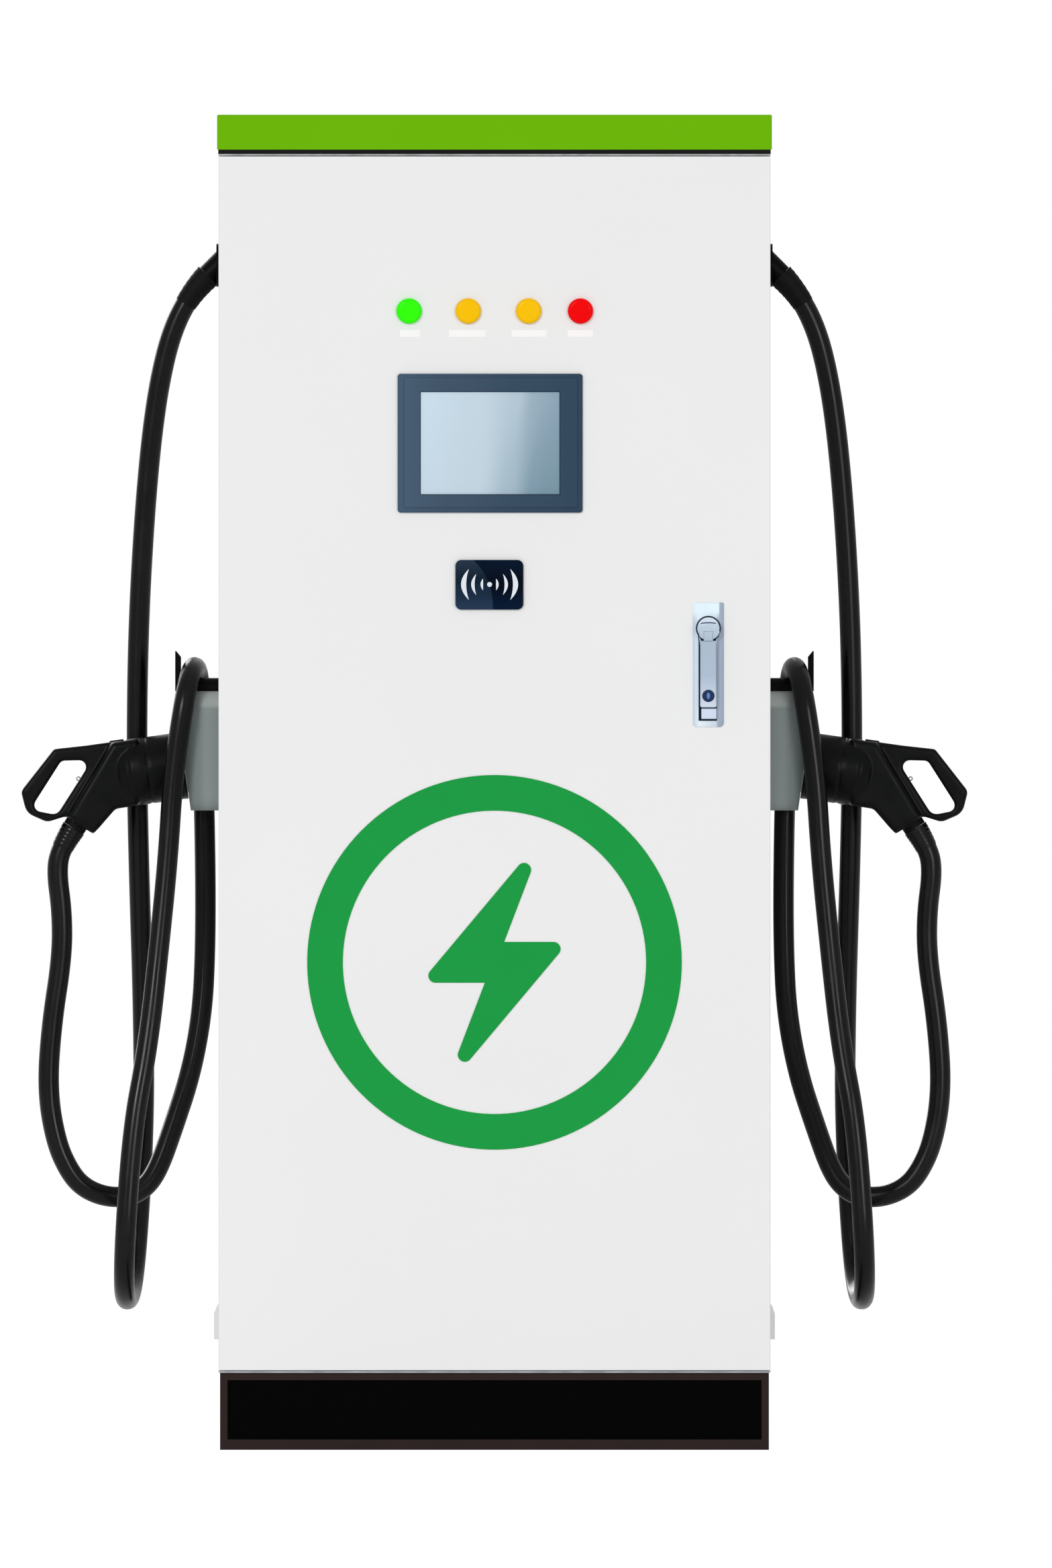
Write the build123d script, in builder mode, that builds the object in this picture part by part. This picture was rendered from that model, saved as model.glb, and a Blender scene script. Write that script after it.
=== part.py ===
"""EV charging post: an upright steel cabinet on a plinth, with two charging guns on its sides.

Millimetres. X to the right as seen from the front, Y to the back, Z up.
The origin is on the floor, at the centre of the plinth's four anchor holes.
"""

import os
from math import cos, pi, radians, sin, tan

from build123d import *

os.makedirs("parts", exist_ok=True)

# ---- driving dimensions -------------------------------------------------------------------------
HEIGHT = 1800.0
WIDTH = 744.0            # cabinet body
DEPTH = 500.0
SHEET = 2.0              # steel sheet of the panels
CLEARANCE = 0.3          # between pieces that move against each other

PLINTH_WIDTH = 740.0
PLINTH_DEPTH = 496.0
PLINTH_HEIGHT = 104.0
PLINTH_WALL = 4.0
PLINTH_FLANGE = 60.0
ANCHOR_SPACING_X = 660.0
ANCHOR_SPACING_Y = 420.0
ANCHOR_RADIUS = 7.0

CAP_WIDTH = 748.0
CAP_DEPTH = 504.0
CAP_HEIGHT = 47.0
SEAL_HEIGHT = 6.0

DOOR_DEPTH = 25.0
GASKET_GAP = 5.0         # between the door's rear rim and the frame
FRAME_BORDER = 30.0      # width of the frame's angle sections
FRAME_WALL = 3.0

GUN_TILT = 8.0           # degrees, the guns rise towards the cabinet
CABLE_RADIUS = 14.0

# ---- levels and faces that follow from them -----------------------------------------------------
SEAL_BOTTOM = HEIGHT - CAP_HEIGHT - SEAL_HEIGHT
ROOF_BOTTOM = SEAL_BOTTOM - SHEET
FLOOR_TOP = PLINTH_HEIGHT + SHEET
FRONT = -DEPTH / 2
BACK = DEPTH / 2
SIDE = WIDTH / 2
DOOR_REAR = FRONT + DOOR_DEPTH
FRAME_FRONT = DOOR_REAR + GASKET_GAP
BASE = (Align.CENTER, Align.CENTER, Align.MIN)


def save(piece, name):
    """Label a finished piece and write it as its own STEP file."""
    piece.part.label = name
    export_step(piece.part, f"parts/{name}.step")


def save_pair(piece, name):
    """Write a left-hand piece and its mirror image on the right."""
    save(piece, f"left_{name}")
    with BuildPart() as twin:
        mirror(piece.part, about=Plane.YZ)
    save(twin, f"right_{name}")


def block(x, y, z, mode=Mode.ADD):
    """A box from three (low, high) ranges, in the open part."""
    with Locations(((x[0] + x[1]) / 2, (y[0] + y[1]) / 2, (z[0] + z[1]) / 2)):
        Box(x[1] - x[0], y[1] - y[0], z[1] - z[0], mode=mode)


# ---- plinth -------------------------------------------------------------------------------------
WINDOW_WIDTH = 720.0
WINDOW_LOW = 14.0
WINDOW_HIGH = 94.0
PANEL_RECESS = 1.5

with BuildPart() as plinth_frame:
    Box(PLINTH_WIDTH, PLINTH_DEPTH, PLINTH_HEIGHT, align=BASE)
    inner_x = PLINTH_WIDTH - 2 * PLINTH_WALL
    inner_y = PLINTH_DEPTH - 2 * PLINTH_WALL
    with Locations((0, 0, PLINTH_HEIGHT / 2)):
        Box(inner_x, inner_y, PLINTH_HEIGHT - 2 * PLINTH_WALL, mode=Mode.SUBTRACT)
        Box(
            PLINTH_WIDTH - 2 * PLINTH_FLANGE,
            PLINTH_DEPTH - 2 * PLINTH_FLANGE,
            PLINTH_HEIGHT,
            mode=Mode.SUBTRACT,
        )
    with Locations((0, 0, (WINDOW_LOW + WINDOW_HIGH) / 2)):
        Box(WINDOW_WIDTH, PLINTH_DEPTH, WINDOW_HIGH - WINDOW_LOW, mode=Mode.SUBTRACT)
    with BuildSketch(Plane.XY):
        with GridLocations(ANCHOR_SPACING_X, ANCHOR_SPACING_Y, 2, 2):
            Circle(ANCHOR_RADIUS)
    extrude(amount=PLINTH_WALL, mode=Mode.SUBTRACT)
save(plinth_frame, "plinth_frame")

with BuildPart() as plinth_access_panels:
    # each panel is a plate behind the window with a pad that nearly fills it
    wall_outer = -PLINTH_DEPTH / 2
    wall_inner = wall_outer + PLINTH_WALL
    half_lip = WINDOW_WIDTH / 2 + 5
    half_pad = WINDOW_WIDTH / 2 - 0.5
    block((-half_lip, half_lip), (wall_inner, wall_inner + SHEET), (WINDOW_LOW - 5, WINDOW_HIGH + 5))
    block(
        (-half_pad, half_pad),
        (wall_outer + PANEL_RECESS, wall_inner),
        (WINDOW_LOW + 0.5, WINDOW_HIGH - 0.5),
    )
    mirror(about=Plane.XZ)
save(plinth_access_panels, "plinth_access_panels")

# ---- cabinet body -------------------------------------------------------------------------------
ENTRY_CENTRE_Y = 120.0
ENTRY_BORE_RADIUS = 20.0
ENTRY_GLAND_RADIUS = 28.0
ENTRY_GLAND_LENGTH = 24.0
ENTRY_SPACING = 110.0

with BuildPart() as base_plate:
    with Locations((0, 0, PLINTH_HEIGHT)):
        Box(WIDTH, DEPTH, SHEET, align=BASE)
    with Locations((0, ENTRY_CENTRE_Y, PLINTH_HEIGHT)):
        Box(320, 100, SHEET, align=BASE, mode=Mode.SUBTRACT)
save(base_plate, "base_plate")

with BuildPart() as cable_entry_plate:
    # bolted over the floor's cut-out; three glands carry the supply cables
    with Locations((0, ENTRY_CENTRE_Y, FLOOR_TOP)):
        Box(360, 140, FRAME_WALL, align=BASE)
    with BuildSketch(Plane.XY.offset(FLOOR_TOP)):
        with Locations((0, ENTRY_CENTRE_Y)):
            with GridLocations(ENTRY_SPACING, 0, 3, 1):
                Circle(ENTRY_GLAND_RADIUS)
    extrude(amount=ENTRY_GLAND_LENGTH)
    with BuildSketch(Plane.XY.offset(FLOOR_TOP)):
        with Locations((0, ENTRY_CENTRE_Y)):
            with GridLocations(ENTRY_SPACING, 0, 3, 1):
                Circle(ENTRY_BORE_RADIUS)
    extrude(amount=ENTRY_GLAND_LENGTH, mode=Mode.SUBTRACT)
save(cable_entry_plate, "cable_entry_plate")

with BuildPart() as cabinet_frame:
    # welded angle sections: a thin box with a window in each of its six faces
    frame_x = SIDE - SHEET
    frame_back = BACK - SHEET
    frame_y = (FRAME_FRONT, frame_back)
    frame_z = (FLOOR_TOP, ROOF_BOTTOM)
    block((-frame_x, frame_x), frame_y, frame_z)
    inner_y = (frame_y[0] + FRAME_WALL, frame_y[1] - FRAME_WALL)
    inner_z = (frame_z[0] + FRAME_WALL, frame_z[1] - FRAME_WALL)
    window_x = (-frame_x + FRAME_BORDER, frame_x - FRAME_BORDER)
    window_y = (frame_y[0] + FRAME_BORDER, frame_y[1] - FRAME_BORDER)
    window_z = (frame_z[0] + FRAME_BORDER, frame_z[1] - FRAME_BORDER)
    block((-frame_x + FRAME_WALL, frame_x - FRAME_WALL), inner_y, inner_z, Mode.SUBTRACT)
    block(window_x, frame_y, window_z, Mode.SUBTRACT)
    block((-frame_x, frame_x), window_y, window_z, Mode.SUBTRACT)
    block(window_x, window_y, frame_z, Mode.SUBTRACT)
save(cabinet_frame, "cabinet_frame")

# the cable outlets and the hooded air slots in the side walls
OUTLET_Y = 60.0
OUTLET_Z = 1597.0
OUTLET_HOLE_RADIUS = 24.0
HOOD_LOW = 149.0
HOOD_HIGH = 196.0
HOOD_PROUD = 6.0
HOOD_LENGTH = 300.0

with BuildPart() as side_panel:
    block((-SIDE, -SIDE + SHEET), frame_y, frame_z)
    with BuildSketch(Plane.YZ.offset(-SIDE)):
        with Locations((OUTLET_Y, OUTLET_Z)):
            Circle(OUTLET_HOLE_RADIUS)
        with Locations((0, (HOOD_LOW + HOOD_HIGH) / 2)):
            with GridLocations(HOOD_LENGTH / 3, 12, 3, 2):
                Rectangle(80, 6)
    extrude(amount=SHEET, mode=Mode.SUBTRACT)
save_pair(side_panel, "side_panel")

with BuildPart() as side_vent_hoods:
    # a rain hood over each row of slots, open underneath
    with BuildSketch(Plane.XZ.offset(-HOOD_LENGTH / 2)):
        with BuildLine():
            Polyline(
                (-SIDE, HOOD_LOW),
                (-SIDE - HOOD_PROUD, HOOD_LOW),
                (-SIDE - HOOD_PROUD, HOOD_HIGH - 12),
                (-SIDE - 1.5, HOOD_HIGH),
                (-SIDE, HOOD_HIGH),
                close=True,
            )
        make_face()
    extrude(amount=HOOD_LENGTH)
    block(
        (-SIDE - HOOD_PROUD + 1.5, -SIDE),
        (-HOOD_LENGTH / 2 + 1.5, HOOD_LENGTH / 2 - 1.5),
        (HOOD_LOW, HOOD_HIGH - 14),
        Mode.SUBTRACT,
    )
    mirror(about=Plane.YZ)
save(side_vent_hoods, "side_vent_hoods")

FAN_SIZE = 172.0
FAN_DEPTH = 51.0
FAN_BORE_RADIUS = 80.0
FAN_CENTRES = (1560.0, 1370.0)
LOUVRE_WIDTH = 150.0
LOUVRE_HEIGHT = 6.0

with BuildPart() as rear_panel:
    block((-SIDE, SIDE), (frame_back, BACK), frame_z)
    with BuildSketch(Plane.XZ.offset(-BACK)):
        for centre in FAN_CENTRES:
            with Locations((0, centre)):
                Circle(FAN_BORE_RADIUS)
        with Locations((0, 450)):
            with GridLocations(LOUVRE_WIDTH + 40, 24, 3, 16):
                Rectangle(LOUVRE_WIDTH, LOUVRE_HEIGHT)
    extrude(amount=SHEET, mode=Mode.SUBTRACT)
save(rear_panel, "rear_panel")

with BuildPart() as roof_panel:
    with Locations((0, 0, ROOF_BOTTOM)):
        Box(WIDTH, DEPTH, SHEET, align=BASE)
save(roof_panel, "roof_panel")

with BuildPart() as roof_seal:
    with Locations((0, 0, SEAL_BOTTOM)):
        Box(WIDTH + 1, DEPTH + 1, SEAL_HEIGHT, align=BASE)
        Box(WIDTH - 59, DEPTH - 59, SEAL_HEIGHT, align=BASE, mode=Mode.SUBTRACT)
save(roof_seal, "roof_seal")

with BuildPart() as roof_cap:
    # a folded tray, open underneath, with a rim that sits on the seal
    cap_bottom = HEIGHT - CAP_HEIGHT
    with Locations((0, 0, cap_bottom)):
        Box(CAP_WIDTH, CAP_DEPTH, CAP_HEIGHT, align=BASE)
    fillet(roof_cap.edges().filter_by(Axis.Z), 3)
    fillet(roof_cap.faces().sort_by(Axis.Z)[-1].edges(), 2)
    with Locations((0, 0, cap_bottom + SHEET)):
        Box(
            CAP_WIDTH - 2 * SHEET,
            CAP_DEPTH - 2 * SHEET,
            CAP_HEIGHT - 2 * SHEET,
            align=BASE,
            mode=Mode.SUBTRACT,
        )
    with Locations((0, 0, cap_bottom)):
        Box(CAP_WIDTH - 60, CAP_DEPTH - 60, SHEET, align=BASE, mode=Mode.SUBTRACT)
save(roof_cap, "roof_cap")

GASKET_OUTER_X = 354.0
GASKET_WIDTH = 12.0
gasket_low = FLOOR_TOP + 14
gasket_high = ROOF_BOTTOM - 14

with BuildPart() as door_gasket:
    gasket_y = (DOOR_REAR + CLEARANCE, FRAME_FRONT)
    inner_x = GASKET_OUTER_X - GASKET_WIDTH
    block((-GASKET_OUTER_X, GASKET_OUTER_X), gasket_y, (gasket_low, gasket_high))
    block(
        (-inner_x, inner_x),
        gasket_y,
        (gasket_low + GASKET_WIDTH, gasket_high - GASKET_WIDTH),
        Mode.SUBTRACT,
    )
save(door_gasket, "door_gasket")

# ---- inside the cabinet -------------------------------------------------------------------------
SHELF_LEVELS = (300.0, 400.0, 500.0, 600.0)
MODULE = (430.0, 360.0, 84.0)
MODULE_CENTRE_Y = 10.0
PLATE_FRONT = 117.0      # front face of the mounting plate

with BuildPart() as module_shelves:
    for level in SHELF_LEVELS:
        with Locations((0, MODULE_CENTRE_Y, level - SHEET)):
            Box(2 * frame_x, MODULE[1] + 20, SHEET, align=BASE)
save(module_shelves, "module_shelves")

with BuildPart() as power_modules:
    for level in SHELF_LEVELS:
        with Locations((0, MODULE_CENTRE_Y, level)):
            Box(*MODULE, align=BASE)
        face_y = MODULE_CENTRE_Y - MODULE[1] / 2
        middle = level + MODULE[2] / 2
        # fan grilles in the front, and a handle at each end
        with BuildSketch(Plane.XZ.offset(-face_y)):
            with Locations((0, middle)):
                with GridLocations(110, 0, 3, 1):
                    Circle(36)
        extrude(amount=-3, mode=Mode.SUBTRACT)
        for side in (-1, 1):
            handle_x = side * (MODULE[0] / 2 - 16)
            block((handle_x - 4, handle_x + 4), (face_y - 26, face_y - 18), (middle - 32, middle + 32))
            for end in (-28, 28):
                with BuildSketch(Plane.XZ.offset(-face_y)):
                    with Locations((handle_x, middle + end)):
                        Circle(3.5)
                extrude(amount=20)
save(power_modules, "power_modules")

with BuildPart() as mounting_plate:
    block((-frame_x, frame_x), (PLATE_FRONT, PLATE_FRONT + 3), (880, 1640))
save(mounting_plate, "mounting_plate")

with BuildPart() as main_breaker:
    block((-260, -120), (PLATE_FRONT - 80, PLATE_FRONT), (1420, 1600))
    fillet(main_breaker.faces().sort_by(Axis.Y)[0].edges(), 3)
    block((-225, -155), (PLATE_FRONT - 92, PLATE_FRONT - 80), (1480, 1540))
    block((-205, -175), (PLATE_FRONT - 108, PLATE_FRONT - 92), (1500, 1530))
save(main_breaker, "main_breaker")

with BuildPart() as dc_contactors:
    for column in range(4):
        left = -20 + column * 80
        block((left, left + 60), (PLATE_FRONT - 64, PLATE_FRONT), (1440, 1530))
        block((left + 8, left + 52), (PLATE_FRONT - 76, PLATE_FRONT - 64), (1455, 1515))
save(dc_contactors, "dc_contactors")

with BuildPart() as fuses:
    for column in range(4):
        centre = 10 + column * 80
        block((centre - 18, centre + 18), (PLATE_FRONT - 20, PLATE_FRONT), (1250, 1350))
        with Locations((centre, PLATE_FRONT - 34, 1300)):
            Cylinder(15, 84)
save(fuses, "fuses")

with BuildPart() as busbars:
    for row, level in enumerate((1160.0, 1110.0, 1060.0)):
        block((-40, 300), (PLATE_FRONT - 36, PLATE_FRONT - 30), (level, level + 30))
        for x in (-20, 130, 280):
            with BuildSketch(Plane.XZ.offset(-PLATE_FRONT)):
                with Locations((x, level + 15)):
                    Circle(8)
            extrude(amount=30)
save(busbars, "busbars")

with BuildPart() as control_board:
    block((-320, -80), (PLATE_FRONT - 16, PLATE_FRONT - 14), (1040, 1340))
    with BuildSketch(Plane.XZ.offset(-PLATE_FRONT)):
        with Locations((-200, 1190)):
            with GridLocations(220, 280, 2, 2):
                Circle(4)
    extrude(amount=14)
    chip_y = (PLATE_FRONT - 20, PLATE_FRONT - 16)
    block((-230, -190), chip_y, (1180, 1220))
    block((-290, -260), chip_y, (1240, 1300))
    block((-140, -100), chip_y, (1080, 1100))
    block((-300, -110), (PLATE_FRONT - 30, PLATE_FRONT - 16), (1312, 1326))
    block((-300, -110), (PLATE_FRONT - 30, PLATE_FRONT - 16), (1054, 1068))
save(control_board, "control_board")

# ---- exhaust fans -------------------------------------------------------------------------------
FAN_HUB_RADIUS = 32.0
FAN_SHAFT_RADIUS = 4.0
FAN_BLADES = 7
fan_front = frame_back - FAN_DEPTH

with BuildPart() as fan_frames:
    for centre in FAN_CENTRES:
        half = FAN_SIZE / 2
        block((-half, half), (fan_front, frame_back), (centre - half, centre + half))
        with BuildSketch(Plane.XZ.offset(-fan_front)):
            with Locations((0, centre)):
                Circle(FAN_BORE_RADIUS)
        extrude(amount=-FAN_DEPTH, mode=Mode.SUBTRACT)
        # struts and the motor's base across the front of the bore
        block((-half, half), (fan_front, fan_front + 4), (centre - 4, centre + 4))
        block((-4, 4), (fan_front, fan_front + 4), (centre - half, centre + half))
        with BuildSketch(Plane.XZ.offset(-fan_front)):
            with Locations((0, centre)):
                Circle(FAN_HUB_RADIUS - 2)
        extrude(amount=-4)
        with BuildSketch(Plane.XZ.offset(-fan_front - 4)):
            with Locations((0, centre)):
                Circle(FAN_SHAFT_RADIUS)
        extrude(amount=-36)
save(fan_frames, "fan_frames")


def build_rotor(centre):
    """A fan rotor: a hub on its shaft with pitched blades."""
    hub_front = fan_front + 5
    with BuildPart() as rotor:
        with BuildSketch(Plane.XZ.offset(-hub_front)):
            with Locations((0, centre)):
                Circle(FAN_HUB_RADIUS)
        extrude(amount=-38)
        for index in range(FAN_BLADES):
            # a blade reaches out along the radius and is pitched about it
            spoke = Vector(1, 0, 0).rotate(Axis.Y, index * 360 / FAN_BLADES)
            root = Vector(0, hub_front + 19, centre) + spoke * (FAN_HUB_RADIUS - 3)
            level = Plane(origin=root, x_dir=(0, 1, 0), z_dir=spoke)
            with BuildSketch(level):
                Rectangle(40, 3, rotation=35)
            extrude(amount=76 - FAN_HUB_RADIUS + 3)
        with BuildSketch(Plane.XZ.offset(-hub_front)):
            with Locations((0, centre)):
                Circle(FAN_SHAFT_RADIUS + 0.05)
        extrude(amount=-36, mode=Mode.SUBTRACT)
    return rotor


save(build_rotor(FAN_CENTRES[0]), "upper_fan_rotor")
save(build_rotor(FAN_CENTRES[1]), "lower_fan_rotor")

with BuildPart() as fan_guards:
    # finger guards outside the rear panel: rings joined by two bars
    for centre in FAN_CENTRES:
        with BuildSketch(Plane.XZ.offset(-BACK)):
            with Locations((0, centre)):
                for radius in (86, 70, 54, 38, 22):
                    Circle(radius)
                    Circle(radius - 3, mode=Mode.SUBTRACT)
                Rectangle(172, 4, rotation=45)
                Rectangle(172, 4, rotation=-45)
        extrude(amount=-3)
save(fan_guards, "fan_guards")

# ---- door ---------------------------------------------------------------------------------------
DOOR_LOW = FLOOR_TOP + 1
DOOR_HIGH = ROOF_BOTTOM - 1
PIVOT_X = -SIDE + 8
PIVOT_Y = DOOR_REAR - 6
PIVOT_RADIUS = 4.0
PIVOT_REACH = 18.0

HMI_X, HMI_Z = -5.9, 1357.2
HMI_WIDTH, HMI_HEIGHT = 249.3, 187.2
SCREEN_WIDTH, SCREEN_HEIGHT = 188.1, 138.8
READER_X, READER_Z = -6.9, 1166.3
READER_WIDTH, READER_HEIGHT = 91.6, 67.0
LAMP_Z = 1535.3
LAMP_RADIUS = 17.2
GREEN_LAMP_X = -115.1
AMBER_LAMP_XS = (-35.5, 46.1)
RED_LAMP_X = 115.9
LOCK_X = 288.4
LOCK_Z = 1107.5          # the spindle's axis
HANDLE_WIDTH, HANDLE_HEIGHT = 41.2, 167.5
HANDLE_Z = 1058.4
SPINDLE_RADIUS = 6.0
SYMBOL_Z = 657.3

skin_y = (FRONT, FRONT + SHEET)
with BuildPart() as door_panel:
    # one folded pan that covers the whole front
    block((-SIDE, SIDE), (FRONT, DOOR_REAR), (DOOR_LOW, DOOR_HIGH))
    fillet(door_panel.faces().sort_by(Axis.Y)[0].edges(), 1.5)
    block(
        (-SIDE + SHEET, SIDE - SHEET),
        (FRONT + SHEET, DOOR_REAR),
        (DOOR_LOW + SHEET, DOOR_HIGH - SHEET),
        Mode.SUBTRACT,
    )
    with BuildSketch(Plane.XZ.offset(-FRONT)):
        with Locations((HMI_X, HMI_Z)):
            Rectangle(HMI_WIDTH - 30, HMI_HEIGHT - 30)
        with Locations((READER_X, READER_Z)):
            Rectangle(READER_WIDTH - 26, READER_HEIGHT - 22)
        for lamp_x in (GREEN_LAMP_X, *AMBER_LAMP_XS, RED_LAMP_X):
            with Locations((lamp_x, LAMP_Z)):
                Circle(11)
        with Locations((LOCK_X, LOCK_Z)):
            Circle(SPINDLE_RADIUS + 0.5)
    extrude(amount=-SHEET, mode=Mode.SUBTRACT)
    with BuildSketch(Plane.XY.offset(DOOR_LOW)):
        with Locations((PIVOT_X, PIVOT_Y)):
            Circle(PIVOT_RADIUS + 1)
    extrude(until=Until.LAST, mode=Mode.SUBTRACT)
save(door_panel, "door_panel")

with BuildPart() as door_pivot_pins:
    # the door hangs on a pin at the floor and one at the roof, inside its hinge edge
    for foot, reach in ((FLOOR_TOP, PIVOT_REACH), (ROOF_BOTTOM, -PIVOT_REACH)):
        with BuildSketch(Plane.XY.offset(foot)):
            with Locations((PIVOT_X, PIVOT_Y)):
                Circle(PIVOT_RADIUS)
        extrude(amount=reach)
save(door_pivot_pins, "door_pivot_pins")

with BuildPart() as door_pivot_blocks:
    block_x = (-SIDE + SHEET, -SIDE + 16)
    block_y = (FRONT + SHEET, DOOR_REAR)
    block(block_x, block_y, (DOOR_LOW + SHEET, DOOR_LOW + 24))
    block(block_x, block_y, (DOOR_HIGH - 24, DOOR_HIGH - SHEET))
    with BuildSketch(Plane.XY.offset(DOOR_LOW)):
        with Locations((PIVOT_X, PIVOT_Y)):
            Circle(PIVOT_RADIUS + 0.05)
    extrude(until=Until.LAST, mode=Mode.SUBTRACT)
save(door_pivot_blocks, "door_pivot_blocks")

RING_OUTER_X = 350.0
RING_WIDTH = 20.0
RING_WALL = 1.5
ROD_Y = (-216.0, -212.0)
ROD_HALF_WIDTH = 7.0
ROD_OFFSET = 9.0         # each rod runs this far to one side of the spindle
GUIDE_LEVELS = {-1: (1680.0, 1250.0), 1: (180.0, 900.0)}

with BuildPart() as door_stiffeners:
    # a ring of thin channel behind the skin, two cross members and the rod guides
    ring_z = (DOOR_LOW + 12, DOOR_HIGH - 12)
    ring_y = (FRONT + SHEET, DOOR_REAR)
    inner_x = RING_OUTER_X - RING_WIDTH
    block((-RING_OUTER_X, RING_OUTER_X), ring_y, ring_z)
    block(
        (-RING_OUTER_X + RING_WALL, RING_OUTER_X - RING_WALL),
        (ring_y[0], ring_y[1] - RING_WALL),
        (ring_z[0] + RING_WALL, ring_z[1] - RING_WALL),
        Mode.SUBTRACT,
    )
    block(
        (-inner_x, inner_x),
        ring_y,
        (ring_z[0] + RING_WIDTH, ring_z[1] - RING_WIDTH),
        Mode.SUBTRACT,
    )
    for level in (960.0, 380.0):
        block((-RING_OUTER_X, RING_OUTER_X), (ring_y[0], ring_y[0] + 8), (level, level + 30))
    for side, levels in GUIDE_LEVELS.items():
        rod_x = LOCK_X + side * ROD_OFFSET
        for level in levels:
            block((rod_x - 14, inner_x), (DOOR_REAR - RING_WALL, ROD_Y[1] + 4), (level, level + 10))
            block((inner_x, inner_x + 5), (DOOR_REAR - RING_WALL, DOOR_REAR), (level, level + 10))
            block(
                (rod_x - ROD_HALF_WIDTH - CLEARANCE, rod_x + ROD_HALF_WIDTH + CLEARANCE),
                (ROD_Y[0] - CLEARANCE, ROD_Y[1] + CLEARANCE),
                (level, level + 10),
                Mode.SUBTRACT,
            )
save(door_stiffeners, "door_stiffeners")

with BuildPart() as hmi_bezel:
    bezel_proud = 6.0
    with BuildSketch(Plane.XZ.offset(-FRONT)):
        with Locations((HMI_X, HMI_Z)):
            RectangleRounded(HMI_WIDTH, HMI_HEIGHT, 4)
    extrude(amount=bezel_proud)
    chamfer(hmi_bezel.faces().sort_by(Axis.Y)[0].edges(), 3)
    # the body goes back through the door, open at the rear
    with BuildSketch(Plane.XZ.offset(-FRONT)):
        with Locations((HMI_X, HMI_Z)):
            Rectangle(HMI_WIDTH - 31, HMI_HEIGHT - 31)
    extrude(amount=-34)
    with BuildSketch(Plane.XZ.offset(-FRONT)):
        with Locations((HMI_X, HMI_Z)):
            Rectangle(HMI_WIDTH - 36, HMI_HEIGHT - 36)
    extrude(amount=-34, mode=Mode.SUBTRACT)
    with BuildSketch(Plane.XZ.offset(-FRONT + 3)):
        with Locations((HMI_X, HMI_Z)):
            RectangleRounded(SCREEN_WIDTH + 0.4, SCREEN_HEIGHT + 0.4, 2)
    extrude(amount=3, mode=Mode.SUBTRACT)
save(hmi_bezel, "hmi_bezel")

with BuildPart() as hmi_screen:
    with BuildSketch(Plane.XZ.offset(-FRONT + 3)):
        with Locations((HMI_X, HMI_Z)):
            RectangleRounded(SCREEN_WIDTH, SCREEN_HEIGHT, 2)
    extrude(amount=2)
save(hmi_screen, "hmi_screen")

with BuildPart() as card_reader:
    with BuildSketch(Plane.XZ.offset(-FRONT)):
        with Locations((READER_X, READER_Z)):
            RectangleRounded(READER_WIDTH, READER_HEIGHT, 8)
    extrude(amount=5)
    fillet(card_reader.faces().sort_by(Axis.Y)[0].edges(), 2)
    with BuildSketch(Plane.XZ.offset(-FRONT)):
        with Locations((READER_X, READER_Z)):
            Rectangle(READER_WIDTH - 27, READER_HEIGHT - 23)
    extrude(amount=-18)
save(card_reader, "card_reader")


def build_lamps(places):
    """Panel lamps: a domed lens on the skin and a body that goes back through it."""
    with BuildPart() as lamps:
        with BuildSketch(Plane.XZ.offset(-FRONT)):
            with Locations(*[(x, LAMP_Z) for x in places]):
                Circle(LAMP_RADIUS)
        extrude(amount=8)
        fillet(lamps.edges().filter_by(GeomType.CIRCLE).group_by(Axis.Y)[0], 5)
        with BuildSketch(Plane.XZ.offset(-FRONT)):
            with Locations(*[(x, LAMP_Z) for x in places]):
                Circle(10.5)
        extrude(amount=-32)
    return lamps


save(build_lamps([GREEN_LAMP_X]), "green_lamp")
save(build_lamps(AMBER_LAMP_XS), "amber_lamps")
save(build_lamps([RED_LAMP_X]), "red_lamp")

with BuildPart() as charge_symbol:
    # a plain charging pictogram: a ring round a two-ended bolt
    with BuildSketch(Plane.XZ.offset(-FRONT)):
        with Locations((0, SYMBOL_Z)):
            Circle(252.5)
            Circle(204.5, mode=Mode.SUBTRACT)
    extrude(amount=1)
    with BuildSketch(Plane.XZ.offset(-FRONT)) as bolt:
        with Locations((0, SYMBOL_Z)):
            Polygon(
                (69, 174), (-100, -27.5), (-13, -27.5), (-69, -174), (100, 27.5), (13, 27.5),
                align=None,
            )
        tips = [v for v in bolt.vertices() if abs(v.X) > 50]
        fillet(tips, 9.5)
    extrude(amount=1)
save(charge_symbol, "charge_symbol")

# ---- swing handle and rod lock ------------------------------------------------------------------
PLATE_PROUD = 4.0
LEVER_BACK = FRONT - PLATE_PROUD - 1
LEVER_THICK = 9.0
LEVER_WIDTH = 22.0
LEVER_LOW = 1001.0
LEVER_PIVOT_Y = LEVER_BACK - LEVER_THICK / 2
LEVER_PIVOT_Z = 1101.0
TONGUE_WIDTH = 12.0
PIVOT_PIN_RADIUS = 2.0
BOSS_RADIUS = 16.0
KEY_Z = 1016.5
KEY_RADIUS = 8.3

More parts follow.
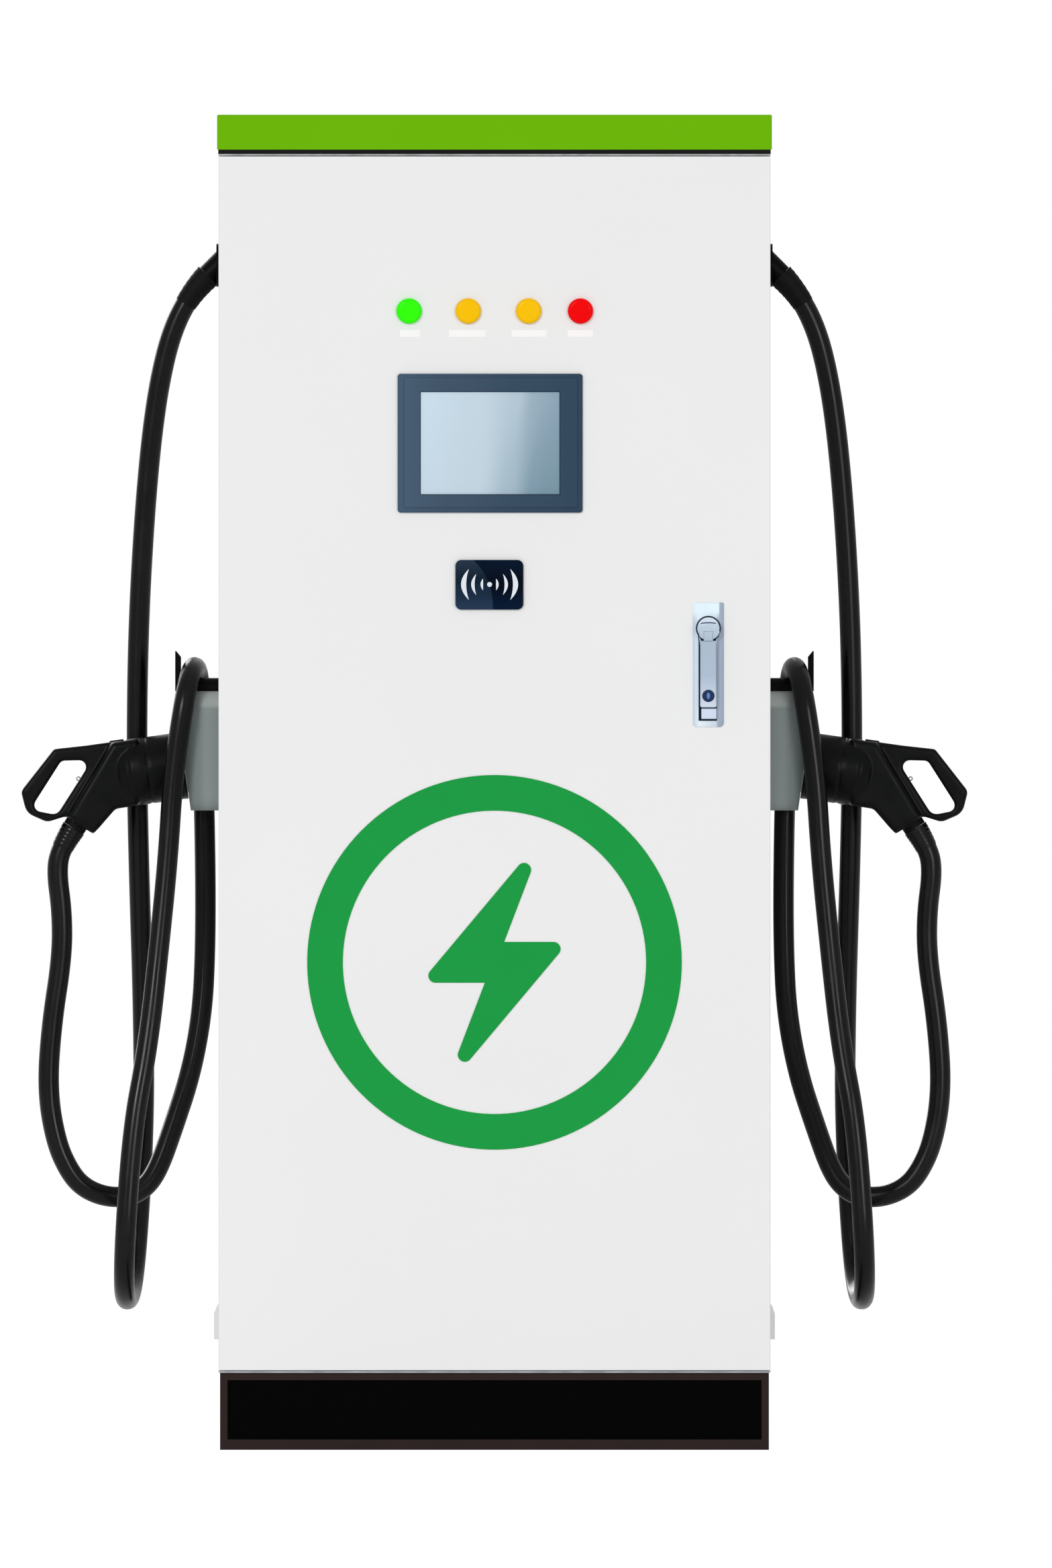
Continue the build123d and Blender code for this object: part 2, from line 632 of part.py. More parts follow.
with BuildPart() as handle_plate:
    with BuildSketch(Plane.XZ.offset(-FRONT)):
        with Locations((LOCK_X, HANDLE_Z)):
            RectangleRounded(HANDLE_WIDTH, HANDLE_HEIGHT, 3)
    extrude(amount=PLATE_PROUD)
    chamfer(handle_plate.faces().sort_by(Axis.Y)[0].edges(), 2)
    # the stop under the lever's end
    block((LOCK_X - 9, LOCK_X + 9), (LEVER_BACK - 5, FRONT - 3), (986, 999))
    with BuildSketch(Plane.XZ.offset(-FRONT)):
        with Locations((LOCK_X, LOCK_Z)):
            Circle(SPINDLE_RADIUS + 0.05)
    extrude(amount=PLATE_PROUD, mode=Mode.SUBTRACT)
save(handle_plate, "handle_plate")

with BuildPart() as handle_spindle:
    # boss with a fork and pin for the lever, shaft through the door, disc that drives the rods
    with BuildSketch(Plane.XZ.offset(-FRONT + PLATE_PROUD + CLEARANCE)):
        with Locations((LOCK_X, LOCK_Z)):
            Circle(BOSS_RADIUS)
    extrude(amount=LEVER_THICK + 0.7)
    slot_half = TONGUE_WIDTH / 2 + CLEARANCE
    block(
        (LOCK_X - slot_half, LOCK_X + slot_half),
        (LEVER_BACK - 20, LEVER_BACK + 0.5),
        (LOCK_Z - 30, LEVER_PIVOT_Z + 5),
        Mode.SUBTRACT,
    )
    with BuildSketch(Plane.YZ.offset(LOCK_X - 8)):
        with Locations((LEVER_PIVOT_Y, LEVER_PIVOT_Z)):
            Circle(PIVOT_PIN_RADIUS)
    extrude(amount=16)
    with BuildSketch(Plane.XZ.offset(-FRONT + PLATE_PROUD + CLEARANCE)):
        with Locations((LOCK_X, LOCK_Z)):
            Circle(SPINDLE_RADIUS)
    extrude(amount=-(ROD_Y[0] - FRONT + PLATE_PROUD))
    with BuildSketch(Plane.XZ.offset(-ROD_Y[0] + CLEARANCE)):
        with Locations((LOCK_X, LOCK_Z)):
            Circle(24)
    extrude(amount=4)
save(handle_spindle, "handle_spindle")

with BuildPart() as handle_lever:
    shoulder = LOCK_Z - BOSS_RADIUS - 0.7
    lever_y = (LEVER_BACK - LEVER_THICK, LEVER_BACK)
    half = LEVER_WIDTH / 2
    block((LOCK_X - half, LOCK_X + half), lever_y, (LEVER_LOW, shoulder))
    fillet(handle_lever.edges().filter_by(Axis.Y).group_by(Axis.Z)[0], 2.5)
    chamfer(handle_lever.faces().sort_by(Axis.Y)[0].edges(), 1.5)
    half = TONGUE_WIDTH / 2
    block((LOCK_X - half, LOCK_X + half), lever_y, (shoulder, LEVER_PIVOT_Z))
    with BuildSketch(Plane.YZ.offset(LOCK_X - half)):
        with Locations((LEVER_PIVOT_Y, LEVER_PIVOT_Z)):
            Circle(LEVER_THICK / 2)
    extrude(amount=TONGUE_WIDTH)
    with BuildSketch(Plane.YZ.offset(LOCK_X - half)):
        with Locations((LEVER_PIVOT_Y, LEVER_PIVOT_Z)):
            Circle(PIVOT_PIN_RADIUS + 0.05)
    extrude(amount=TONGUE_WIDTH, mode=Mode.SUBTRACT)
    with BuildSketch(Plane.XZ.offset(-LEVER_BACK + LEVER_THICK)):
        with Locations((LOCK_X, KEY_Z)):
            Circle(KEY_RADIUS + 0.05)
    extrude(amount=-(LEVER_THICK - 1.5), mode=Mode.SUBTRACT)
save(handle_lever, "handle_lever")

with BuildPart() as lock_cylinder:
    with BuildSketch(Plane.XZ.offset(-LEVER_BACK + 1.8)):
        with Locations((LOCK_X, KEY_Z)):
            Circle(KEY_RADIUS)
    extrude(amount=LEVER_THICK - 1.4)
    block((LOCK_X - 1, LOCK_X + 1), (LEVER_BACK - 12, LEVER_BACK - 6), (KEY_Z - 4, KEY_Z + 4), Mode.SUBTRACT)
save(lock_cylinder, "lock_cylinder")

ROD_TOP = ROOF_BOTTOM - FRAME_BORDER - 2
ROD_BOTTOM = FLOOR_TOP + FRAME_BORDER + 2

for name, side, ends in (
    ("upper_lock_rod", -1, (LOCK_Z + 18, ROD_TOP)),
    ("lower_lock_rod", 1, (ROD_BOTTOM, LOCK_Z - 18)),
):
    rod_x = LOCK_X + side * ROD_OFFSET
    with BuildPart() as lock_rod:
        block((rod_x - ROD_HALF_WIDTH, rod_x + ROD_HALF_WIDTH), ROD_Y, ends)
        fillet(lock_rod.edges().filter_by(Axis.Y), 3)
    save(lock_rod, name)

# ---- holsters, hooks and cable outlets on the side walls ----------------------------------------
tilt = radians(GUN_TILT)
AXIS = Vector(cos(tilt), 0, sin(tilt))       # the left gun's axis, towards the cabinet
UP = Vector(-sin(tilt), 0, cos(tilt))
FACE = Vector(-418, 0, 923)                  # where that axis meets the holster's face
HOLSTER_LOW = 862.0
HOLSTER_HIGH = 1023.0
HOLSTER_HALF = 50.0
SOCKET_RADIUS = 42.0
SOCKET_DEPTH = 40.0
SOCKET_BORE_RADIUS = 37.0
BARREL_RADIUS = 45.0
NOZZLE_RADIUS = 36.5
NOZZLE_LENGTH = 36.0


def face_x(z):
    """X of the holster's sloping face at a height."""
    return FACE.X - (z - FACE.Z) * tan(tilt)


def across_axis(distance):
    """A plane square to the gun's axis, that far beyond the holster's face into the holster."""
    return Plane(origin=FACE + AXIS * distance, x_dir=(0, 1, 0), z_dir=AXIS)


with BuildPart() as holsters:
    with BuildSketch(Plane.XZ.offset(-HOLSTER_HALF)):
        with BuildLine():
            Polyline(
                (-SIDE, HOLSTER_LOW),
                (face_x(HOLSTER_LOW), HOLSTER_LOW),
                (face_x(HOLSTER_HIGH), HOLSTER_HIGH),
                (-SIDE, HOLSTER_HIGH),
                close=True,
            )
        make_face()
    extrude(amount=2 * HOLSTER_HALF)
    fillet(holsters.edges().filter_by(Axis.X).group_by(Axis.Z)[-1], 30)
    fillet(holsters.edges().filter_by(Axis.X).group_by(Axis.Z)[0], 16)
    # the outer corner at the top is cut off
    with BuildSketch(Plane.XZ.offset(-HOLSTER_HALF)):
        with BuildLine():
            Polyline((-440, 1000), (face_x(1000), 1000), (-417, HOLSTER_HIGH), (-440, HOLSTER_HIGH), close=True)
        make_face()
    extrude(amount=2 * HOLSTER_HALF, mode=Mode.SUBTRACT)
    with BuildSketch(across_axis(-5)):
        Circle(SOCKET_RADIUS)
    extrude(amount=SOCKET_DEPTH + 5, mode=Mode.SUBTRACT)
    mirror(about=Plane.YZ)
save(holsters, "holsters")

with BuildPart() as holster_sockets:
    # the black liner that the gun's nose sits in
    with BuildSketch(across_axis(0)):
        Circle(SOCKET_RADIUS)
    extrude(amount=SOCKET_DEPTH)
    with BuildSketch(across_axis(0)):
        Circle(SOCKET_BORE_RADIUS)
    extrude(amount=SOCKET_DEPTH - 2, mode=Mode.SUBTRACT)
    mirror(about=Plane.YZ)
save(holster_sockets, "holster_sockets")

HOOK_LIP = (-430.5, -422.5)
HOOK_TIP = 1077.0
CABLE_HIGH = 1055.0      # the cable's centreline over the hook
SADDLE_HALF = 22.0
saddle_top = CABLE_HIGH - CABLE_RADIUS - CLEARANCE

with BuildPart() as cable_hooks:
    with BuildSketch(Plane.YZ.offset(HOOK_LIP[0])) as saddle:
        # rounded in Y like the bend of the cable that it carries
        with Locations((0, HOLSTER_HIGH)):
            Rectangle(2 * SADDLE_HALF, saddle_top - HOLSTER_HIGH, align=(Align.CENTER, Align.MIN))
        fillet(saddle.vertices().group_by(Axis.Y)[-1], 14)
    extrude(amount=-SIDE - HOOK_LIP[0])
    with BuildSketch(Plane.XZ.offset(-SADDLE_HALF + 4)):
        with BuildLine():
            Polyline(
                (HOOK_LIP[0], saddle_top - 12),
                (HOOK_LIP[1], saddle_top - 12),
                (HOOK_LIP[1], HOOK_TIP - 8),
                (HOOK_LIP[0] + 1.5, HOOK_TIP),
                (HOOK_LIP[0], HOOK_TIP),
                close=True,
            )
        make_face()
    extrude(amount=2 * (SADDLE_HALF - 4))
    mirror(about=Plane.YZ)
save(cable_hooks, "cable_hooks")

# ---- charging guns ------------------------------------------------------------------------------
BODY_HALF = 32.0         # half the thickness of the gun's body
GRIP_HALF = 17.0         # and of its grip and finger loop
TAIL = Vector(-563, 0, 844.5)                # middle of the body's tail face
TAIL_WAY = Vector(-17.1, 0, -25.7).normalized()
BOOT_LENGTH = 8.0
BOOT_RADIUS = 15.5
BUTTON_S = -86.0         # the button's place along the gun's axis, from the holster's face
BUTTON_TRAVEL = 3.0
gun_plane = Plane(origin=FACE, x_dir=AXIS, z_dir=(0, -1, 0))

with BuildPart() as gun_shell:
    # grip, finger loop and tail
    with BuildSketch(Plane.XZ) as grip:
        Polygon(
            (-505, 956), (-551, 949.5), (-594, 945), (-641, 887), (-630, 861), (-603, 845.5),
            (-580, 853), (-575.9, 853.1), (-550.2, 836), (-500, 880),
            align=None,
        )
        fillet(grip.vertices().sort_by(Axis.X)[0:2], 12)
    extrude(amount=GRIP_HALF, both=True)
    with BuildSketch(Plane.XZ) as finger_hole:
        Polygon(
            (-583, 929), (-541, 930), (-592, 855), (-627, 865),
            align=None,
        )
        fillet(finger_hole.vertices(), 9)
    extrude(amount=GRIP_HALF, both=True, mode=Mode.SUBTRACT)
    # body behind the barrel, and the barrel itself
    with BuildSketch(Plane.XZ):
        Polygon(
            (-480, 959), (-516, 953.5), (-575.9, 853.1), (-550.2, 836), (-541, 830.5),
            (-533.5, 838), (-511, 864), (-480, 869),
            align=None,
        )
    extrude(amount=BODY_HALF, both=True)
    with BuildSketch(across_axis(-CLEARANCE)):
        Circle(BARREL_RADIUS)
    extrude(amount=-78)
    # pocket of the release button
    with BuildSketch(gun_plane):
        with Locations((BUTTON_S, BARREL_RADIUS - 4)):
            Rectangle(20, 16)
    extrude(amount=8, both=True, mode=Mode.SUBTRACT)
save_pair(gun_shell, "gun_shell")

with BuildPart() as gun_button:
    with BuildSketch(gun_plane) as button:
        with Locations((BUTTON_S, BARREL_RADIUS - 2)):
            Rectangle(19.4, 7)
        fillet(button.vertices(), 1.5)
    extrude(amount=8 - CLEARANCE, both=True)
save_pair(gun_button, "gun_button")

PIN_LAYOUT = (
    # across, up, radius: two power pins, earth, and six small ones
    (-14, 2, 6.0), (14, 2, 6.0), (0, -15, 5.0),
    (-6, 16, 1.5), (6, 16, 1.5), (-16, -14, 1.5), (16, -14, 1.5), (-5, 0, 1.5), (5, 0, 1.5),
)

with BuildPart() as gun_nozzle:
    # outer shroud and inner core of the plug, on one base disc, with a bore for each pin
    with BuildSketch(across_axis(-CLEARANCE)):
        Circle(NOZZLE_RADIUS)
    extrude(amount=NOZZLE_LENGTH)
    with BuildSketch(across_axis(6)):
        Circle(NOZZLE_RADIUS - 4)
        Circle(NOZZLE_RADIUS - 10, mode=Mode.SUBTRACT)
    extrude(amount=NOZZLE_LENGTH, mode=Mode.SUBTRACT)
    with BuildSketch(across_axis(4)):
        for across, up, radius in PIN_LAYOUT:
            with Locations((across, up)):
                Circle(radius + 1)
    extrude(amount=NOZZLE_LENGTH, mode=Mode.SUBTRACT)
save_pair(gun_nozzle, "gun_nozzle")

with BuildPart() as gun_contacts:
    with BuildSketch(across_axis(4)):
        for across, up, radius in PIN_LAYOUT:
            with Locations((across, up)):
                Circle(radius)
    extrude(amount=NOZZLE_LENGTH - 10)
save_pair(gun_contacts, "gun_contacts")

with BuildPart() as gun_cable_boot:
    with BuildSketch(Plane(origin=TAIL, z_dir=TAIL_WAY)):
        Circle(BOOT_RADIUS)
    extrude(amount=BOOT_LENGTH)
    fillet(gun_cable_boot.edges().filter_by(GeomType.CIRCLE).sort_by(Axis.Z)[0], 1)
save_pair(gun_cable_boot, "gun_cable_boot")

# ---- cables -------------------------------------------------------------------------------------
OUTLET_WAY = Vector(-1, 0, -1).normalized()  # the outlets point outwards and down
OUTLET_REACH = 20.0
LAST_RUN = 31.0          # the straight stretch out of the gun's tail
outlet = Vector(-SIDE, OUTLET_Y, OUTLET_Z)

with BuildPart() as cable_glands:
    # a slanted sleeve through the wall, with a flange outside and a nut inside
    with BuildSketch(Plane(origin=outlet - OUTLET_WAY * 22, z_dir=OUTLET_WAY)):
        Circle(CABLE_RADIUS + 1.5)
    extrude(amount=22 + OUTLET_REACH)
    with BuildSketch(Plane.YZ.offset(-SIDE - 3)):
        with Locations((OUTLET_Y, OUTLET_Z)):
            Circle(OUTLET_HOLE_RADIUS + 5)
    extrude(amount=3)
    with BuildSketch(Plane.YZ.offset(-SIDE + SHEET)):
        with Locations((OUTLET_Y, OUTLET_Z)):
            RegularPolygon(OUTLET_HOLE_RADIUS + 5, 6)
    extrude(amount=5)
    mirror(about=Plane.YZ)
save(cable_glands, "cable_glands")

# The left cable's route: down behind the gun, a hanging loop to the front, up and over the hook,
# down behind the holster, a second loop and up into the gun's tail.
ROUTE = [
    outlet + OUTLET_WAY * OUTLET_REACH,
    (-403, 60, 1566), (-426.5, 60, 1528.5), (-444.5, 60, 1475.5), (-460, 61, 1388),
    (-472, 62, 1260), (-480.5, 63, 1100), (-482.5, 64, 930), (-479, 68, 770),
    (-473.5, 92, 600), (-472, 122, 430), (-487, 128, 203),
    (-503, -128, 203), (-489, -122, 430), (-467, -103, 545), (-452, -87, 680),
    (-440, -76, 800), (-433, -70, 915), (-411, -68, 1055),
    (-397.5, 68, 1055), (-392, 68, 905), (-389.5, 66, 770), (-390, 58, 670), (-394, 48, 590),
    (-409, 36, 508), (-434, 24, 432), (-453, 15, 379), (-470, 10, 354), (-494, 7, 341),
    (-524, 4, 341), (-552.5, 2, 352.5), (-572, 0, 373), (-591, 0, 414), (-603, 0, 485),
    (-597, 0, 575), (-583, 0, 665), (-583, 0, 725), (-590.5, 0, 780),
    TAIL + TAIL_WAY * (BOOT_LENGTH + LAST_RUN), TAIL + TAIL_WAY * BOOT_LENGTH,
]
ROUTE = [Vector(*point) for point in ROUTE]
SPLIT = 28               # the run after this point is where the gun's share of the cable starts


def corner_radii(points):
    """The arc at each inner point: 0.45 of its shorter run over the tangent of half the turn."""
    radii = []
    for before, here, after in zip(points, points[1:], points[2:]):
        run_in, run_out = here - before, after - here
        half_turn = radians(run_in.get_angle(run_out) / 2)
        radii.append(0.45 * min(run_in.length, run_out.length) / tan(half_turn))
    return radii


def build_cable(points, radii):
    """A tube along straight runs joined by tangent arcs."""
    with BuildPart() as cable:
        with BuildLine() as path:
            FilletPolyline(*points, radius=radii)
        centreline = path.wire()
        with BuildSketch(Plane(origin=centreline @ 0, z_dir=centreline % 0)):
            Circle(CABLE_RADIUS)
        sweep(path=centreline)
    length = centreline.length
    share = cable.part.volume / (pi * CABLE_RADIUS**2 * length)
    print(f"cable of {length:.0f} mm, volume over section times length {share:.4f}")
    return cable


cable_radii = corner_radii(ROUTE)
for point, radius in zip(ROUTE[1:], cable_radii):
    print(f"arc at {point.X:7.1f} {point.Y:7.1f} {point.Z:7.1f}: {radius:.0f} mm")
middle = (ROUTE[SPLIT] + ROUTE[SPLIT + 1]) / 2
save_pair(build_cable([*ROUTE[: SPLIT + 1], middle], cable_radii[:SPLIT]), "cable")
save_pair(build_cable([middle, *ROUTE[SPLIT + 1 :]], cable_radii[SPLIT:]), "cable_tail")
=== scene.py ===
import math

import bmesh
import bpy
from mathutils import Matrix, Vector


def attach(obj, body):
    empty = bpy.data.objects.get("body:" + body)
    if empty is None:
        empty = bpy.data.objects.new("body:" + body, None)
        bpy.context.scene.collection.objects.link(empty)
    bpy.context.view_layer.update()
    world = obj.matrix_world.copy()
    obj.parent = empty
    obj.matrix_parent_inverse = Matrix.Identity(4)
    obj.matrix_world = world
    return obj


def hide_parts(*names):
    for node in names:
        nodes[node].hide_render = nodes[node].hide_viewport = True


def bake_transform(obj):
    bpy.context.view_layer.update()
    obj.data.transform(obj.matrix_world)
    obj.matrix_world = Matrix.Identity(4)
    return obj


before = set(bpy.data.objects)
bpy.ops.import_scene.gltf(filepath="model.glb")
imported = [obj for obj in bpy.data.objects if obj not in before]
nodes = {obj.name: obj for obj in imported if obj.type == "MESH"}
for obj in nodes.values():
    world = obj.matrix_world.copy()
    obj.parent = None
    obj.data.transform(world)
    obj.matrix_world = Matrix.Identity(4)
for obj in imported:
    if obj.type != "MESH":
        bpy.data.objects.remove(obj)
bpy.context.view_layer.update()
scene = bpy.context.scene

SIDES = (("left", 1.0), ("right", -1.0))  # each side's name, and the sign that X takes there


def srgb(r, g, b):
    """An sRGB colour, 0 to 255, as the linear colour a shader takes."""
    out = []
    for c in (r, g, b):
        c /= 255.0
        out.append(c / 12.92 if c <= 0.04045 else ((c + 0.055) / 1.055) ** 2.4)
    return tuple(out) + (1.0,)


def new_object(name, data):
    obj = bpy.data.objects.new(name, data)
    scene.collection.objects.link(obj)
    return obj


def feed(tree, socket, value):
    """Link a socket to another one, or set it to a constant."""
    if isinstance(value, bpy.types.NodeSocket):
        tree.links.new(value, socket)
    else:
        socket.default_value = value


def add_node(tree, kind, **sockets):
    """A new shader node with its sockets fed. Underscores stand for the spaces in a socket's name."""
    made = tree.nodes.new("ShaderNode" + kind)
    for name, value in sockets.items():
        feed(tree, made.inputs[name.replace("_", " ")], value)
    return made


# ---------------------------------------------------------------- camera, light and floor
CAMERA_AT = (0.0425, -6.0, 0.8977)
VIEW_HEIGHT = 2.1139
WHITE = (1.0, 1.0, 1.0, 1.0)
SEEN_STRENGTH, CAST_STRENGTH = 1.0, 0.55  # the white surroundings, as the camera sees them and as they light
LAMP_DISTANCE = 3.0
FLOOR_HALF, FLOOR_DROP = 9.0, 0.0005

camera_data = bpy.data.cameras.new("camera")
camera_data.type = "ORTHO"
camera_data.ortho_scale = VIEW_HEIGHT
camera_data.clip_start = 0.05
camera_data.clip_end = 60.0
camera = new_object("camera", camera_data)
camera.location = CAMERA_AT
camera.rotation_euler = (math.radians(90.0), 0.0, 0.0)
scene.camera = camera
scene.view_settings.view_transform = "Standard"
scene.view_settings.look = "None"

world = bpy.data.worlds.new("studio")
scene.world = world
world.use_nodes = True
sky = world.node_tree
sky.nodes.clear()
seen = add_node(sky, "Background", Color=WHITE, Strength=SEEN_STRENGTH)
cast = add_node(sky, "Background", Color=WHITE, Strength=CAST_STRENGTH)
either = add_node(sky, "MixShader", Fac=add_node(sky, "LightPath").outputs["Is Camera Ray"])
feed(sky, either.inputs[1], cast.outputs["Background"])
feed(sky, either.inputs[2], seen.outputs["Background"])
add_node(sky, "OutputWorld", Surface=either.outputs["Shader"])


def sun(name, towards, strength, angle):
    """Light as even as a far softbox: towards is the way it shines, angle how wide it looks, in degrees."""
    data = bpy.data.lights.new(name, "SUN")
    data.energy = strength
    data.angle = math.radians(angle)
    lamp = new_object(name, data)
    lamp.location = tuple(-LAMP_DISTANCE * c for c in towards)
    lamp.rotation_euler = Vector(towards).to_track_quat("-Z", "Y").to_euler()


sun("key", (0.42, 1.0, -0.40), 0.95, 14.0)
sun("fill", (-0.50, 1.0, -0.18), 0.55, 18.0)
sun("rear", (0.5, -1.0, -0.5), 1.1, 40.0)

floor_mesh = bpy.data.meshes.new("floor")
sheet = bmesh.new()
bmesh.ops.create_grid(sheet, x_segments=1, y_segments=1, size=FLOOR_HALF)
sheet.to_mesh(floor_mesh)
sheet.free()
floor = new_object("floor", floor_mesh)
floor.location = (0.0, 0.0, -FLOOR_DROP)


# ---------------------------------------------------------------- finishes
SLOW_NOISE = (0.3, 0.7)  # the part of a noise's range that its values mostly keep to


def finish(
    name, rgb, rough=0.45, metal=0.0, vary=0.04, vary_scale=9.0, grain=320.0, grain_depth=0.00012,
    rough_vary=0.08, specular=0.5,
):
    """One moulded, coated or brushed finish: a slow change of colour and gloss, and a fine grain in the surface."""
    m = bpy.data.materials.new(name)
    m.use_nodes = True
    tree = m.node_tree
    tree.nodes.clear()
    place = add_node(tree, "TexCoord").outputs["Object"]
    slow = add_node(tree, "TexNoise", Vector=place, Scale=vary_scale, Detail=3.0).outputs["Fac"]
    shade = add_node(tree, "ValToRGB", Fac=slow)
    for stop, position, change in zip(shade.color_ramp.elements, SLOW_NOISE, (-vary, vary)):
        stop.position = position
        stop.color = tuple(min(1.0, c * (1.0 + change)) for c in srgb(*rgb)[:3]) + (1.0,)
    gloss = add_node(
        tree, "MapRange", Value=slow, From_Min=SLOW_NOISE[0], From_Max=SLOW_NOISE[1],
        To_Min=max(0.02, rough - rough_vary), To_Max=min(1.0, rough + rough_vary),
    )
    fine = add_node(tree, "TexNoise", Vector=place, Scale=grain, Detail=2.0).outputs["Fac"]
    bump = add_node(tree, "Bump", Strength=0.5, Distance=grain_depth, Height=fine)
    bsdf = add_node(
        tree, "BsdfPrincipled", Base_Color=shade.outputs["Color"], Metallic=metal, IOR=1.5,
        Roughness=gloss.outputs["Result"], Specular_IOR_Level=specular, Normal=bump.outputs["Normal"],
    )
    add_node(tree, "OutputMaterial", Surface=bsdf.outputs["BSDF"])
    return m


# each material slot of the record, and the finishes that only added pieces wear
FINISHES = {
    "white_paint": dict(rgb=(231, 231, 231), rough=0.42, vary=0.006, vary_scale=2.5, grain=520.0,
                        grain_depth=0.00006, specular=0.25),
    "green_paint": dict(rgb=(105, 177, 0), rough=0.4, vary=0.015, vary_scale=3.0, grain=520.0,
                        grain_depth=0.00006, specular=0.05),
    "plinth_paint": dict(rgb=(44, 34, 32), rough=0.5, vary=0.08, grain=420.0, specular=0.06),
    "black_panel": dict(rgb=(2, 2, 2), rough=0.55, vary=0.2, grain=420.0, specular=0.02),
    "zinc_steel": dict(rgb=(176, 180, 184), rough=0.38, metal=1.0, vary=0.1, vary_scale=40.0, grain=160.0),
    "black_rubber": dict(rgb=(12, 12, 11), rough=0.6, vary=0.15, grain=700.0, specular=0.12),
    "cable_rubber": dict(rgb=(6, 7, 6), rough=0.25, vary=0.12, vary_scale=22.0, grain=900.0,
                         grain_depth=0.00006, specular=0.22, rough_vary=0.05),
    "gun_plastic": dict(rgb=(8, 9, 9), rough=0.36, vary=0.08, vary_scale=26.0, grain=1100.0,
                        grain_depth=0.00008, specular=0.1),
    "black_plastic": dict(rgb=(7, 7, 7), rough=0.42, vary=0.1, grain=900.0, specular=0.07),
    "grey_plastic": dict(rgb=(134, 143, 142), rough=0.46, vary=0.03, vary_scale=12.0, grain=900.0,
                         grain_depth=0.00008, specular=0.25),
    "button_plastic": dict(rgb=(24, 25, 26), rough=0.36, vary=0.05, grain=900.0, specular=0.15),
    "module_case": dict(rgb=(60, 64, 68), rough=0.4, vary=0.06, grain=400.0),
    "bezel_plastic": dict(rgb=(56, 78, 98), rough=0.42, vary=0.03, grain=1000.0, grain_depth=0.00006,
                          specular=0.1),
    "screen_glass": dict(rgb=(178, 201, 216), rough=0.12, vary=0.02, grain=60.0, grain_depth=0.00001,
                         specular=0.1),
    "reader_plastic": dict(rgb=(8, 24, 42), rough=0.3, vary=0.05, grain=60.0, grain_depth=0.00001,
                           specular=0.05),
    "green_lens": dict(rgb=(49, 251, 5), rough=0.25, vary=0.02, grain=300.0, specular=0.08),
    "amber_lens": dict(rgb=(246, 191, 3), rough=0.25, vary=0.02, grain=300.0, specular=0.08),
    "red_lens": dict(rgb=(240, 0, 3), rough=0.25, vary=0.02, grain=300.0, specular=0.08),
    "symbol_green": dict(rgb=(26, 151, 66), rough=0.4, vary=0.015, grain=500.0, grain_depth=0.00004,
                         specular=0.05),
    "lock_chrome": dict(rgb=(206, 222, 236), rough=0.24, metal=0.85, vary=0.04, vary_scale=30.0, grain=260.0,
                        grain_depth=0.00003),
    "lock_core": dict(rgb=(20, 42, 84), rough=0.35, vary=0.06, grain=500.0, specular=0.2),
    "copper": dict(rgb=(190, 120, 86), rough=0.3, metal=1.0, vary=0.08, vary_scale=30.0, grain=300.0),
    "contact_metal": dict(rgb=(204, 204, 200), rough=0.25, metal=1.0, vary=0.06, grain=300.0),
    "board_green": dict(rgb=(26, 92, 54), rough=0.4, vary=0.1, vary_scale=60.0, grain=500.0),
    "label_film": dict(rgb=(244, 243, 242), rough=0.5, vary=0.004, grain=600.0, specular=0.1),
    "mark_white": dict(rgb=(222, 228, 236), rough=0.4, vary=0.02, grain=600.0, specular=0.1),
    # the colour of the painted shade in the gap round the screen's glass
    "gap_painted_shade": dict(rgb=(34, 50, 68), rough=0.4, vary=0.05, grain=600.0, specular=0.1),
    "lock_satin": dict(rgb=(206, 222, 236), rough=0.3, vary=0.04, vary_scale=30.0, grain=700.0,
                       grain_depth=0.00003, specular=0.3),
    "stop_chrome": dict(rgb=(204, 216, 234), rough=0.3, vary=0.03, vary_scale=60.0, grain=700.0,
                        grain_depth=0.00003, specular=0.3),
    # the colour of the painted shadows in the gaps round the handle
    "painted_shadow_dark": dict(rgb=(16, 30, 52), rough=0.6, vary=0.1, grain=700.0, specular=0.1),
    "seam_grey": dict(rgb=(92, 108, 128), rough=0.6, vary=0.1, grain=700.0, specular=0.1),
    "flap_blue": dict(rgb=(84, 136, 186), rough=0.35, vary=0.06, grain=700.0, specular=0.2),
    "gasket_foam": dict(rgb=(28, 28, 28), rough=0.8, vary=0.15, grain=900.0, grain_depth=0.0004,
                        specular=0.1),
}
FINISH = {name: finish(name, **row) for name, row in FINISHES.items()}
floor.data.materials.append(
    finish("floor_paper", rgb=(246, 246, 246), rough=0.85, vary=0.004, vary_scale=1.0, grain=200.0, specular=0.1))

for obj in nodes.values():
    for s in obj.material_slots:
        found = s.material.name.split(".")[0] if s.material else None
        if found in FINISH:
            s.material = FINISH[found]


# ---------------------------------------------------------------- painted light and shade: finishes that change across one part
def painted(name, base, build):
    """A finish whose colour is worked out from the place on the part, to paint light and shade on it: build(tree, x, z)
    returns a colour socket.
    """
    m = FINISH[base].copy()
    m.name = name
    tree = m.node_tree
    bsdf = next(n for n in tree.nodes if n.type == "BSDF_PRINCIPLED")
    place = next(n for n in tree.nodes if n.type == "TEX_COORD")
    split = add_node(tree, "SeparateXYZ", Vector=place.outputs["Object"])
    feed(tree, bsdf.inputs["Base Color"], build(tree, split.outputs["X"], split.outputs["Z"]))
    return m


def spread(tree, value, low, high, curve="LINEAR"):
    """A value that goes from 0 to 1 as another goes from low to high."""
    made = add_node(tree, "MapRange", Value=value, From_Min=low, From_Max=high)
    made.interpolation_type = curve
    return made.outputs["Result"]


def maths(tree, operation, *values):
    made = tree.nodes.new("ShaderNodeMath")
    made.operation = operation
    for socket, value in zip(made.inputs, values):
        feed(tree, socket, value)
    return made.outputs["Value"]


